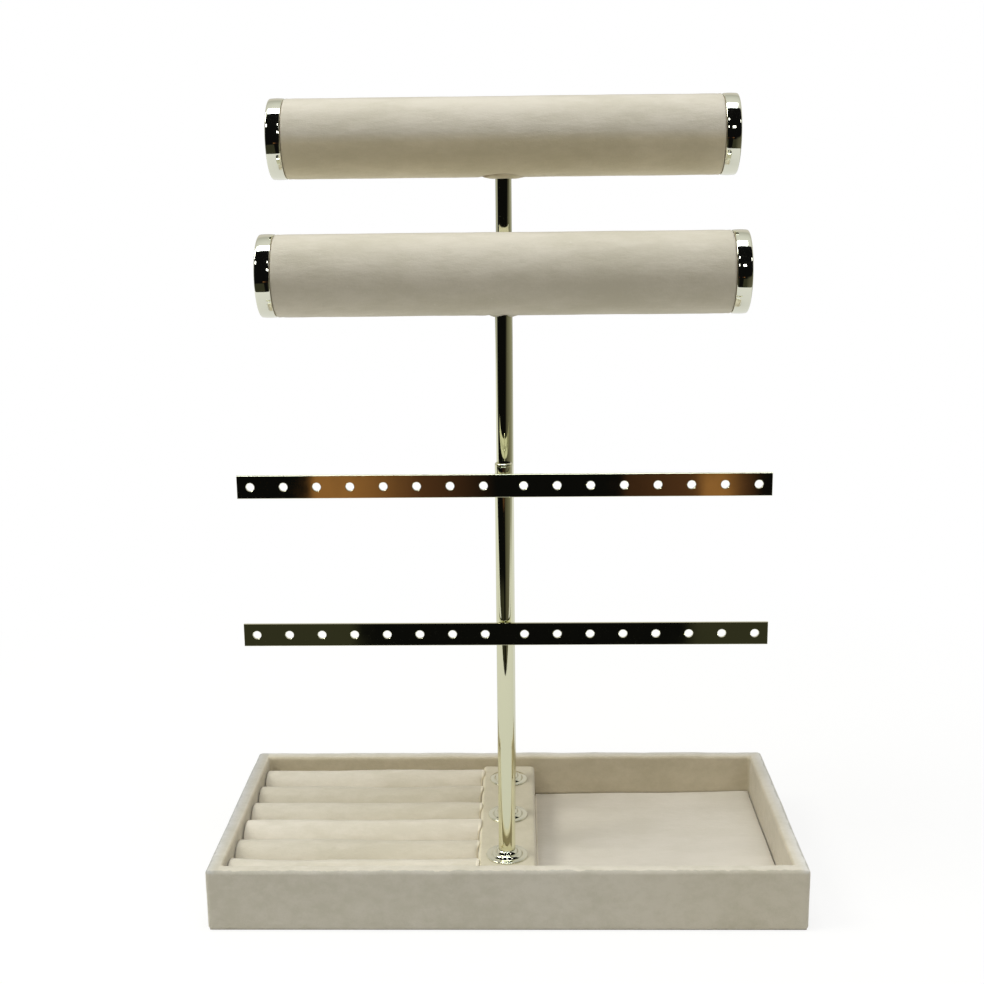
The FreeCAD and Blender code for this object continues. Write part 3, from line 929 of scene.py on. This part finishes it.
def fill_with_air(piece, glued_below, pressure):
    """Gives a piece a cloth with air inside, held where it is glued down."""
    glued = piece.vertex_groups.new(name="glued")
    held = [vertex.index for vertex in piece.data.vertices if vertex.co.z < glued_below]
    glued.add(held, 1.0, "ADD")
    cloth = piece.modifiers.new("swell", "CLOTH")
    cloth.settings.vertex_group_mass = "glued"
    cloth.settings.use_pressure = True
    cloth.settings.uniform_pressure_force = pressure
    cloth.settings.mass = CLOTH_WEIGHT
    cloth.settings.quality = CLOTH_QUALITY
    cloth.settings.effector_weights.gravity = 0
    cloth.collision_settings.use_collision = False
    cloth.point_cache.frame_start = 1
    cloth.point_cache.frame_end = SWELL_FRAMES


def keep_swelling(piece, most_move):
    """Takes the swollen shape into the mesh, with every move held to most_move, and drops the cloth."""
    settled = piece.evaluated_get(bpy.context.evaluated_depsgraph_get()).data
    moves = [new.co - old.co for new, old in zip(settled.vertices, piece.data.vertices)]
    longest = max(move.length for move in moves)
    for vertex, move in zip(piece.data.vertices, moves):
        if move.length > most_move:
            move = move * (most_move / move.length)
        vertex.co += move
    piece.modifiers.clear()
    piece.vertex_groups.clear()
    return longest


print("swelling takes", SWELL_FRAMES, "frames")

# %% Swelling
CUSHION_PRESSURE = 60.0
CUSHION_MOST_MOVE = 0.8 * MM
CUSHION_GLUE = 0.1 * MM
PAD_PRESSURE = 6.0
PAD_MOST_MOVE = 0.4 * MM
PAD_GLUE = 0.4 * MM

card_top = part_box("ring_insert_card")[1].z
for piece in cushions:
    fill_with_air(piece, card_top + CUSHION_GLUE, CUSHION_PRESSURE)
fill_with_air(pad, pad_low.z + PAD_GLUE, PAD_PRESSURE)
for step in range(1, SWELL_FRAMES + 1):
    scene.frame_set(step)
swollen = [keep_swelling(piece, CUSHION_MOST_MOVE) for piece in cushions]
swollen.append(keep_swelling(pad, PAD_MOST_MOVE))
scene.frame_set(1)
print("largest free moves in mm:", [round(move / MM, 2) for move in swollen])

# %% Pressed back by the neighbours
CUSHION_CLEAR = 0.03 * MM
BLOCK_CLEAR = 0.16 * MM
cushion_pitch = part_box("ring_roll_2")[0].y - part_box("ring_roll_1")[0].y


def pressed_back(spot, low, high):
    """A cushion's point held back where the wall, the next cushion or the centre block presses on it."""
    middle_y = (low.y + high.y) / 2
    half_room = cushion_pitch / 2 - CUSHION_CLEAR
    y = min(max(spot.y, middle_y - half_room), middle_y + half_room)
    edge_axis = Vector((block_low.x + BLOCK_ROUND, y, block_high.z - BLOCK_ROUND))
    away = Vector((max(spot.x, low.x), y, spot.z)) - edge_axis
    nearest = BLOCK_ROUND + BLOCK_CLEAR
    if away.z < 0:
        away.x = min(away.x, -nearest)
    elif away.length < nearest:
        away *= nearest / away.length
    return edge_axis + away


for number, piece in enumerate(cushions, 1):
    low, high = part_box(f"ring_roll_{number}")
    for vertex in piece.data.vertices:
        vertex.co = pressed_back(vertex.co, low, high)
for vertex in pad.data.vertices:
    vertex.co = round_cornered(vertex.co, pad_low, pad_high, PAD_CORNER)
reaches = [max(vertex.co.x for vertex in piece.data.vertices) for piece in cushions]
print("cushions reach to x in mm:", [round(reach / MM, 2) for reach in reaches])
print("pad reaches to y in mm:", round(max(vertex.co.y for vertex in pad.data.vertices) / MM, 2))

# %% [markdown]
# ## Bracelet rolls
# Each bracelet roll is a card tube in a velvet sleeve with a plated cap on both ends. The sleeve is
# modelled as a tube with a real thickness. Its ends turn under beside the caps, which leaves the thin
# dark line seen there. Round the post the cloth is drawn over a flat oval seat that slopes off into the
# roll, with a crease round it and small puckers. A subdivided cylinder could not follow that seat
# without many extra loops, so the rows of points are set closer together beside the post.

# %% Seat of the cloth round a post
SEAT_DROP = 0.8 * MM
SEAT_SLOPE = 0.5
CREASE = 0.45 * MM
CREASE_WIDTH = 0.9 * MM
PUCKERS = 7
PUCKER_HEIGHT = 0.10 * MM
PUCKER_FADE = 3.0 * MM
FUNNEL = 1.2 * MM
FUNNEL_INSIDE = 0.3 * MM


def seat_height(along, below, outer, seat, post_radius):
    """How far the cloth stands out round the post: level on an oval seat with sloped sides and a crease."""
    across = outer * math.tan(below) * SEAT_OVAL
    distance = math.hypot(along, across)
    turn = math.atan2(across, along)
    edge = seat * (1 + 0.05 * math.sin(2 * turn + 0.6) + 0.03 * math.cos(PUCKERS * turn))
    level = (outer + SEAT_DROP) / math.cos(below) - outer
    on_seat = eased((edge - distance) / (SEAT_SLOPE * edge))
    off_edge = distance - edge
    crease = CREASE * (0.6 - 0.4 * math.cos(turn)) * math.exp(-((off_edge / CREASE_WIDTH) ** 2))
    pucker = PUCKER_HEIGHT * math.cos(PUCKERS * turn + 1.0) * math.exp(-abs(off_edge) / PUCKER_FADE)
    in_post = math.hypot(along, across / SEAT_OVAL) < post_radius - FUNNEL_INSIDE
    funnel = FUNNEL if in_post else 0.0
    return level * on_seat - crease + pucker - funnel


print("seats in mm:", round(SEAT_UPPER / MM, 1), round(SEAT_LOWER / MM, 1))

# %% Sleeves
SLEEVE_THICK = 1.0 * MM
SLEEVE_EDGE = 0.9 * MM
SLEEVE_END_GAP = 0.25 * MM
SLEEVE_COLUMNS = 160
SLEEVE_RIDGE = 0.14 * MM
SLEEVE_RIDGE_PLACE = 2.6 * MM
SLEEVE_RIDGE_WIDTH = 0.6 * MM
BESIDE_POST = 14 * MM
BELOW_REACH = 0.9
NAP_SQUEEZE = 0.6


def sleeve_stations(low_x, high_x):
    """Places along the sleeve, closest together at the ends and beside the post."""
    ends = [SLEEVE_EDGE * (1 - math.cos(a)) for a in steps(0, math.pi / 2, 4)]
    left = steps(low_x + SLEEVE_EDGE, -BESIDE_POST, 62)[1:]
    centre = steps(-BESIDE_POST, BESIDE_POST, 44)[1:-1]
    right = [-x for x in left[::-1]]
    return [low_x + e for e in ends] + left + centre + right + [high_x - e for e in ends[::-1]]


def end_tuck(from_end):
    """How far the cloth is turned under near the end of a sleeve."""
    if from_end >= SLEEVE_EDGE:
        return 0.0
    return SLEEVE_EDGE - math.sqrt(max(0.0, SLEEVE_EDGE**2 - (SLEEVE_EDGE - from_end) ** 2))


def sleeve(name, body, node, post_node, seat, seed, velvet):
    low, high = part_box(node)
    post_low, post_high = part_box(post_node)
    post_radius = (post_high.x - post_low.x) / 2
    centre = (low + high) / 2
    outer = (high.z - low.z) / 2
    inner = outer - SLEEVE_THICK
    stations = sleeve_stations(low.x + SLEEVE_END_GAP, high.x - SLEEVE_END_GAP)
    angles = steps(0, 2 * math.pi, SLEEVE_COLUMNS)[:-1]
    points = []
    for x in stations:
        from_end = min(x - stations[0], stations[-1] - x)
        tuck = end_tuck(from_end)
        off_ridge = from_end - SLEEVE_RIDGE_PLACE
        ridge = SLEEVE_RIDGE * math.exp(-((off_ridge / SLEEVE_RIDGE_WIDTH) ** 2))
        for angle in angles:
            out = Vector((0, math.cos(angle), math.sin(angle)))
            spot = Vector((x, centre.y, centre.z)) + out * outer
            along_nap = Vector((x * NAP_SQUEEZE, spot.y, spot.z))
            swell = wobble(spot, wavelength_mm=38, height_mm=0.10, seed=seed)
            swell += wobble(along_nap, wavelength_mm=10, height_mm=0.09, seed=seed + 1)
            swell += wobble(along_nap, wavelength_mm=4.5, height_mm=0.06, seed=seed + 2)
            below = (angle + math.pi / 2 + math.pi) % (2 * math.pi) - math.pi
            beside_post = 0.0
            if abs(below) < BELOW_REACH:
                beside_post = seat_height(x, below, outer, seat, post_radius)
            points.append(spot + out * (swell + beside_post - ridge - tuck))
    for x in stations[::-1]:
        for angle in angles:
            out = Vector((0, math.cos(angle), math.sin(angle)))
            points.append(Vector((x, centre.y, centre.z)) + out * inner)
    faces = skin_faces(2 * len(stations), SLEEVE_COLUMNS, True, True)
    return make_piece(name, points, faces, velvet, body, "velvet", node)


upper_sleeve = sleeve(
    "upper_sleeve", "rear_upright", "upper_roll_sleeve", "rear_post", SEAT_UPPER, seed=20,
    velvet=upper_velvet)
lower_sleeve = sleeve(
    "lower_sleeve", "middle_upright", "lower_roll_sleeve", "middle_post", SEAT_LOWER, seed=30,
    velvet=lower_velvet)
print("sleeves:", [len(made.data.vertices) for made in (upper_sleeve, lower_sleeve)], "points")

# %% [markdown]
# ## Caps and flanges
# The roll caps and the flanges at the feet of the posts are round about an axis, so they are made as on
# a lathe: half an outline, spun round. The solids have the right sizes, but their flat cones and
# straight skirts mirror the room in hard-edged pieces. Pressed and plated parts are slightly crowned
# with eased edges, and on those the room's reflection bends and breaks into small glints.

# %% Lathe
LATHE_STEPS = 128


def arc(centre_a, centre_b, radius, start, end, count=6):
    """Points on an arc as (along, out), with the angles in degrees."""
    turns = steps(math.radians(start), math.radians(end), count)
    return [(centre_a + radius * math.sin(a), centre_b + radius * math.cos(a)) for a in turns]


def spun(outline, set_down, closed):
    """Points and faces of an outline of (along, out) pairs spun round; set_down places a point."""
    points = []
    for along, out in outline:
        for angle in steps(0, 2 * math.pi, LATHE_STEPS)[:-1]:
            points.append(set_down(along, out * math.cos(angle), out * math.sin(angle)))
    faces = skin_faces(len(outline), LATHE_STEPS, closed, True)
    if not closed:
        faces.append(list(range(LATHE_STEPS)))
        faces.append([(len(outline) - 1) * LATHE_STEPS + column for column in range(LATHE_STEPS)])
    return points, faces


print("lathe ready with", LATHE_STEPS, "steps")

# %% Roll caps
CAP_EDGE = 0.8 * MM
CAP_LIP = 0.35 * MM
CAP_CROWN = 0.16 * MM
CAP_PLATE = 1.4 * MM
CAP_FIT = 0.1 * MM
CAP_CENTRE = 0.6 * MM
CAP_SHARP_ANGLE = math.radians(40)


def cap_outline(length, radius, bore):
    """From the middle of the end plate, over the crowned skirt, and back inside to the middle."""
    shoulder = radius - CAP_CROWN
    outline = [(0.0, CAP_CENTRE), (0.0, shoulder - CAP_EDGE)]
    outline += arc(CAP_EDGE, shoulder - CAP_EDGE, CAP_EDGE, -90, -8)[1:]
    for share in steps(0, 1, 10)[1:-1]:
        along = CAP_EDGE + (length - CAP_EDGE - CAP_LIP) * share
        outline.append((along, radius - CAP_CROWN * (2 * share - 1) ** 2))
    outline += arc(length - CAP_LIP, shoulder - CAP_LIP, CAP_LIP, 10, 90, 3)
    return outline + [(length, bore), (CAP_PLATE, bore), (CAP_PLATE, CAP_CENTRE)]


def roll_cap(level, side, body):
    node = f"{level}_roll_{side}_cap"
    low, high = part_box(node)
    core_low, core_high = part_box(f"{level}_roll_core")
    middle = (low + high) / 2
    bore = (core_high.z - core_low.z) / 2 + CAP_FIT
    inward = 1 if side == "left" else -1
    end = low.x if side == "left" else high.x

    def set_down(along, a, b):
        return Vector((end + inward * along, middle.y + a, middle.z + b))

    outline = cap_outline(high.x - low.x, (high.z - low.z) / 2, bore)
    points, faces = spun(outline, set_down, False)
    piece = make_piece(f"{level}_{side}_cap", points, faces, cap_plating, body, "plated_plastic", node)
    piece.data.set_sharp_from_angle(angle=CAP_SHARP_ANGLE)
    return piece


caps = []
for level, body in (("upper", "rear_upright"), ("lower", "middle_upright")):
    for side in ("left", "right"):
        caps.append(roll_cap(level, side, body))
print("caps:", len(caps))

# %% Post flanges
FLANGE_RIM = 0.4 * MM
FLANGE_PLATE = 0.9 * MM
FLANGE_STRAIGHT = 1.6
FLANGE_SHOULDER = 0.58
FLANGE_FIT = 0.05 * MM
FLANGE_SHARP_ANGLE = math.radians(50)
LOWER_STEP_FOOT = 2.4 * MM
LOWER_STEP_TOP = 3.3 * MM
UPPER_STEP_FOOT = 1.35 * MM
UPPER_STEP_TOP = 0.3 * MM


def flange_step(foot, low, top, high):
    """A steep step from (low, foot) up to (high, top): a quarter oval at a power of 1, a cone at 2."""
    turns = steps(0, math.pi / 2, 8)
    ups = [math.sin(a) ** FLANGE_STRAIGHT for a in turns]
    outs = [max(0.0, math.cos(a)) ** FLANGE_STRAIGHT for a in turns]
    return [(low + (high - low) * up, top + (foot - top) * out) for up, out in zip(ups, outs)]


def flange_outline(height, radius, bore):
    """A thin plate with an eased rim and two rounded steps up to the post."""
    shoulder = height * FLANGE_SHOULDER
    outline = [(0.0, bore), (0.0, radius - 0.1 * MM)]
    outline += arc(FLANGE_RIM, radius - FLANGE_RIM, FLANGE_RIM, -60, 80, 6)
    outline += flange_step(radius - LOWER_STEP_FOOT, FLANGE_PLATE, radius - LOWER_STEP_TOP, shoulder)
    outline += flange_step(bore + UPPER_STEP_FOOT, shoulder + 0.05 * MM, bore + UPPER_STEP_TOP, height)
    return outline + [(height, bore)]


def post_flange(post):
    node = f"{post}_post_flange"
    low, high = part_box(node)
    post_low, post_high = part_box(f"{post}_post")
    middle = (low + high) / 2

    def set_down(along, a, b):
        return Vector((middle.x + a, middle.y + b, low.z + along))

    bore = (post_high.x - post_low.x) / 2 + FLANGE_FIT
    points, faces = spun(flange_outline(high.z - low.z, (high.x - low.x) / 2, bore), set_down, True)
    body = f"{post}_upright"
    piece = make_piece(f"{post}_flange", points, faces, flange_plating, body, "plated_steel", node)
    piece.data.set_sharp_from_angle(angle=FLANGE_SHARP_ANGLE)
    return piece


flanges = [post_flange(post) for post in ("front", "middle", "rear")]
print("flanges:", len(flanges))

# %% [markdown]
# ## Earring bars
# A bar is a flat strip with eight holes on either side of its post. Its solid is right in shape, but a
# polished strip catches light on its eased edges, and the solid's are sharp. A filled curve with holes,
# given a thickness and a small bevel, makes the strip with every edge eased, also round the holes.

# %% Bar outline
BAR_BEVEL = 0.18 * MM
BAR_SHARP_ANGLE = math.radians(20)
HOLES_EACH_SIDE = 8
HOLE_POINTS = 40
HOLE_RADIUS = 1.9 * MM
HOLE_PITCH = 15 * MM
HOLE_FIRST = 9 * MM


def closed_spline(curve, corners):
    spline = curve.splines.new("POLY")
    spline.points.add(len(corners) - 1)
    for point, (x, y) in zip(spline.points, corners):
        point.co = (x, y, 0, 1)
    spline.use_cyclic_u = True


def bar_curve(level, half_x, half_z, thickness):
    """The strip's outline and its holes as one filled curve, lying flat round the origin."""
    curve = bpy.data.curves.new(f"{level}_bar_outline", "CURVE")
    curve.dimensions = "2D"
    curve.fill_mode = "BOTH"
    curve.bevel_depth = BAR_BEVEL
    curve.bevel_resolution = 2
    curve.extrude = thickness / 2 - BAR_BEVEL
    curve.offset = -BAR_BEVEL
    closed_spline(curve, [(-half_x, -half_z), (half_x, -half_z), (half_x, half_z), (-half_x, half_z)])
    turns = steps(0, 2 * math.pi, HOLE_POINTS)[:-1]
    for side in (-1, 1):
        for number in range(HOLES_EACH_SIDE):
            x = side * (HOLE_FIRST + HOLE_PITCH * number)
            hole = [(x + HOLE_RADIUS * math.cos(a), HOLE_RADIUS * math.sin(a)) for a in turns]
            closed_spline(curve, hole)
    return curve


print("holes in a bar:", 2 * HOLES_EACH_SIDE)

# %% Earring bars
def earring_bar(level):
    low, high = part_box(f"{level}_earring_bar")
    half = (high - low) / 2
    curve = bar_curve(level, half.x, half.z, high.y - low.y)
    drawn = bpy.data.objects.new(f"{level}_bar_outline", curve)
    scene.collection.objects.link(drawn)
    bpy.context.view_layer.update()
    mesh = bpy.data.meshes.new_from_object(drawn.evaluated_get(bpy.context.evaluated_depsgraph_get()))
    bpy.data.objects.remove(drawn)
    centre = (low + high) / 2
    mesh.transform(Matrix.Translation(centre) @ Matrix.Rotation(math.pi / 2, 4, "X"))
    mesh.shade_smooth()
    mesh.set_sharp_from_angle(angle=BAR_SHARP_ANGLE)
    mesh.materials.clear()
    mesh.materials.append(bar_plating)
    piece = bpy.data.objects.new(f"{level}_bar", mesh)
    scene.collection.objects.link(piece)
    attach(piece, "front_upright")
    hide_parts(f"{level}_earring_bar")
    return piece


bars = [earring_bar(level) for level in ("lower", "upper")]
print("bars:", [len(bar.data.vertices) for bar in bars], "points")

# %% [markdown]
# ## Floor and room
# The stand is on pale paper whose curved front edge lies a short way in front of it, with a dark room
# beyond and bright paper behind and above. Velvet hardly notices, but mirrors show all of it: the bars
# and the middle of the caps look into the dark room, while posts and cap edges pick up the paper and,
# far to the right, a dim wall. The camera itself sees only white, with the stand's shadow near its
# foot.

# %% Floor
TABLE_FRONT = -0.375
TABLE_BACK = 2.5
TABLE_HALF_WIDTH = 1.8
TABLE_CURVE = 0.43
TABLE_PAPER = (0.93, 0.92, 0.88, 1)
WHITE = (1, 1, 1, 1)
DIM_WALL = (0.30, 0.29, 0.22, 1)
SHADOW_NEAR = 0.22
SHADOW_FAR = 0.55
SHADOW_WHITE = 0.80
MIRROR_SHARE = 0.85
MIRROR_NEAR = 0.15
MIRROR_FAR = 0.8
MIRROR_DULL = 0.64
MIRROR_BRIGHT = 0.78
WALL_STARTS = 0.55
WALL_FULL = 0.80


def table_finish():
    """Pale paper that the camera sees as white, with the stand's shadow kept close to it."""
    finish, tree, shader = start_finish("table_paper", Base_Color=TABLE_PAPER, Roughness=0.9)
    path = add_node(tree, "ShaderNodeLightPath")
    seen_by_camera = path.outputs["Is Camera Ray"]
    seen_in_mirror = path.outputs["Is Glossy Ray"]
    place = object_place(tree)
    away = add_node(tree, "ShaderNodeVectorMath", {0: place}, operation="LENGTH").outputs["Value"]
    white_share = between(tree, away, SHADOW_NEAR, SHADOW_FAR, SHADOW_WHITE, 1.0)
    camera_share = maths(tree, "MULTIPLY", seen_by_camera, white_share)
    mirror_share = maths(tree, "MULTIPLY", seen_in_mirror, MIRROR_SHARE)
    seen = maths(tree, "MAXIMUM", camera_share, mirror_share)
    mirror_white = between(tree, away, MIRROR_NEAR, MIRROR_FAR, MIRROR_DULL, MIRROR_BRIGHT)
    inputs = {"Factor": seen_by_camera, 2: mirror_white, 3: 1.0}
    glow_strength = add_node(tree, "ShaderNodeMix", inputs).outputs[0]
    far_right = between(tree, sides_of(tree, place)["X"], WALL_STARTS, WALL_FULL)
    dim_share = maths(tree, "MULTIPLY", far_right, seen_in_mirror)
    glow_colour = blend_colours(tree, dim_share, WHITE, DIM_WALL)
    glow = add_node(tree, "ShaderNodeEmission", {"Color": glow_colour, "Strength": glow_strength})
    mixed = add_node(tree, "ShaderNodeMixShader", {0: seen, 1: shader.outputs[0], 2: glow.outputs[0]})
    tree.links.new(mixed.outputs[0], tree.nodes["Material Output"].inputs["Surface"])
    return finish


table_mesh = bpy.data.meshes.new("table")
across_table = steps(-TABLE_HALF_WIDTH, TABLE_HALF_WIDTH, 48)
front_edge = [(x, TABLE_FRONT + TABLE_CURVE * x * x, 0) for x in across_table]
back_edge = [(TABLE_HALF_WIDTH, TABLE_BACK, 0), (-TABLE_HALF_WIDTH, TABLE_BACK, 0)]
table_mesh.from_pydata(front_edge + back_edge, [], [range(len(front_edge) + 2)])
table_mesh.materials.append(table_finish())
table = bpy.data.objects.new("table", table_mesh)
scene.collection.objects.link(table)
print("table front edge at", TABLE_FRONT, "m")

# %% [markdown]
# ## What the mirrors see
# A world shader is asked for a colour in every direction. Here it answers mirrors with a small picture
# of the room: dark in front, with some brown furniture a little below eye level and a dull olive floor
# further out, grey to white paper at the sides, above and behind, and a dim wall on the right. An image
# of a real room would do as well. This one is worked out from the direction alone, so it stays put when
# the camera moves.

# %% Dark room in front
ROOM_DARK = (0.004, 0.004, 0.004, 1)
ROOM_OLIVE = (0.034, 0.034, 0.020, 1)
WOOD_DIM = (0.045, 0.020, 0.010, 1)
WOOD_DARK = (0.085, 0.036, 0.016, 1)
WOOD_LIGHT = (0.30, 0.135, 0.045, 1)
SIDEWAYS_REACH = 0.20

world = bpy.data.worlds.new("studio")
scene.world = world
world.use_nodes = True
room = world.node_tree
room.nodes.clear()
direction = add_node(room, "ShaderNodeTexCoord").outputs["Generated"]
toward = sides_of(room, direction)
to_side = toward["X"]
to_back = toward["Y"]
up = toward["Z"]
sideways = maths(room, "DIVIDE", to_side, to_back)
across = between(room, sideways, -SIDEWAYS_REACH, SIDEWAYS_REACH)
furniture = ramp(room, across, [
    (0.06, ROOM_DARK), (0.10, WOOD_DARK), (0.125, WOOD_LIGHT), (0.165, WOOD_LIGHT), (0.18, WOOD_DARK),
    (0.308, WOOD_DIM), (0.318, ROOM_DARK), (0.55, ROOM_DARK), (0.69, WOOD_DARK), (0.82, WOOD_LIGHT),
    (0.885, WOOD_LIGHT), (0.892, ROOM_DARK),
])
furniture_foot = between(room, up, -0.226, -0.219)
furniture_top = between(room, up, -0.190, -0.197)
furniture_share = maths(room, "MULTIPLY", furniture_foot, furniture_top)
low_down = between(room, up, -0.27, -0.285)
further_out = between(room, maths(room, "ABSOLUTE", sideways), 0.12, 0.13)
floor_share = maths(room, "MULTIPLY", low_down, further_out)
dark_room = blend_colours(room, furniture_share, ROOM_DARK, furniture)
dark_room = blend_colours(room, floor_share, dark_room, ROOM_OLIVE)
print("dark room:", len(room.nodes), "nodes")

# %% Paper and dim wall
PAPER_LOW = (0.40, 0.40, 0.37, 1)
PAPER_BRIGHT = (0.62, 0.59, 0.53, 1)
PAPER_DULL = (0.46, 0.46, 0.42, 1)
PAPER_TOP = (0.75, 0.75, 0.72, 1)
WALL_FRONT = (0.07, 0.065, 0.04, 1)
PAPER_LEAN = 0.32
WALL_LEAN = -3.3

leaning = maths(room, "MULTIPLY_ADD", up, PAPER_LEAN, to_back)
paper_share = between(room, leaning, 0.065, 0.105)
paper = ramp(room, up, [
    (0.0, PAPER_LOW), (0.30, PAPER_BRIGHT), (0.55, PAPER_BRIGHT), (0.72, PAPER_DULL), (1.0, PAPER_TOP),
])
mirrored = blend_colours(room, paper_share, dark_room, paper)
right_wall = ramp(room, between(room, to_back, -1.0, 0.6), [(0.0, WALL_FRONT), (1.0, DIM_WALL)])
rising_right = between(room, maths(room, "MULTIPLY_ADD", up, WALL_LEAN, to_side), 0.80, 1.10)
right_share = maths(room, "MULTIPLY", rising_right, between(room, to_side, 0.20, 0.30))
mirrored = blend_colours(room, right_share, mirrored, right_wall)
print("room picture:", len(room.nodes), "nodes")

# %% [markdown]
# ## Room light
# The same world also lights the velvet, but not with that picture: dark and brown patches would only
# make noise in soft light. So the Light Path node splits the rays. Mirrors get the picture, the camera
# gets plain white, and all other rays get a smooth light from above with a little warm light from the
# front.

# %% Room light
LIGHT_ABOVE = 0.83
LIGHT_FRONT = 0.09
ABOVE_TINT = (1.0, 0.98, 0.95, 1)
FRONT_TINT = (1.0, 0.90, 0.65, 1)

above = maths(room, "MULTIPLY", maths(room, "MAXIMUM", up, 0.0), LIGHT_ABOVE)
to_front = maths(room, "MULTIPLY", to_back, -1.0)
in_front = maths(room, "MULTIPLY", maths(room, "MAXIMUM", to_front, 0.0), LIGHT_FRONT)
path = add_node(room, "ShaderNodeLightPath")
from_above = add_node(room, "ShaderNodeBackground", {"Color": ABOVE_TINT, "Strength": above})
from_front = add_node(room, "ShaderNodeBackground", {"Color": FRONT_TINT, "Strength": in_front})
lighting = add_node(room, "ShaderNodeAddShader", {0: from_above.outputs[0], 1: from_front.outputs[0]})
in_mirrors = add_node(room, "ShaderNodeBackground", {"Color": mirrored, "Strength": 1.0})
to_camera = add_node(room, "ShaderNodeBackground", {"Color": WHITE, "Strength": 1.0})
not_camera = add_node(room, "ShaderNodeMixShader", {
    0: path.outputs["Is Glossy Ray"], 1: lighting.outputs[0], 2: in_mirrors.outputs[0],
})
whole = add_node(room, "ShaderNodeMixShader", {
    0: path.outputs["Is Camera Ray"], 1: not_camera.outputs[0], 2: to_camera.outputs[0],
})
add_node(room, "ShaderNodeOutputWorld", {"Surface": whole.outputs[0]})
print("light from above and front:", LIGHT_ABOVE, LIGHT_FRONT)

# %% [markdown]
# ## Light
# One broad panel hangs overhead, which is what makes the tops of the rolls and the rim the brightest
# velvet, and a softer one fills in from high on the left. Two small panels in front, left and right,
# lift the front faces a little. Three more, further off, are there for the glints on the caps and
# flanges. Spot lamps would throw hard shadows, and such a stand is mostly shown in soft light, so every
# lamp is a panel.

# %% Lights
STAND_MIDDLE = (0, 0, 0.15)
COOL_LIGHT = (0.92, 1.0, 1.08)
WARM_LIGHT = (1.0, 1.0, 0.92)
FRONT_SIZE = 0.25
FRONT_POWER = 0.6
GLINT_SIZE = 0.2
GLINT_POWER = 0.8


def soft_panel(name, place, aim, size_x, size_y, power, tint=(1, 1, 1)):
    data = bpy.data.lights.new(name, "AREA")
    data.shape = "RECTANGLE"
    data.size = size_x
    data.size_y = size_y
    data.energy = power
    data.color = tint
    lamp = bpy.data.objects.new(name, data)
    lamp.location = place
    lamp.rotation_euler = (Vector(aim) - Vector(place)).to_track_quat("-Z", "Y").to_euler()
    scene.collection.objects.link(lamp)
    return lamp


soft_panel("overhead", (-0.12, -0.19, 3.0), (-0.12, -0.19, 0), 1.8, 0.86, 31, COOL_LIGHT)
soft_panel("left_fill", (-1.7, -0.3, 2.1), STAND_MIDDLE, 0.9, 0.9, 23, WARM_LIGHT)
soft_panel("left_front", (-0.85, -1.15, 1.35), STAND_MIDDLE, FRONT_SIZE, FRONT_SIZE, FRONT_POWER)
soft_panel("right_front", (0.95, -1.15, 1.25), STAND_MIDDLE, FRONT_SIZE, FRONT_SIZE, FRONT_POWER)
for name, place in (
    ("right_glint", (0.42, -1.95, 1.00)),
    ("left_glint", (-0.05, -1.95, 1.04)),
    ("high_glint", (0.02, -1.55, 1.70)),
):
    soft_panel(name, place, STAND_MIDDLE, GLINT_SIZE, GLINT_SIZE, GLINT_POWER)
scene.view_settings.view_transform = "Standard"
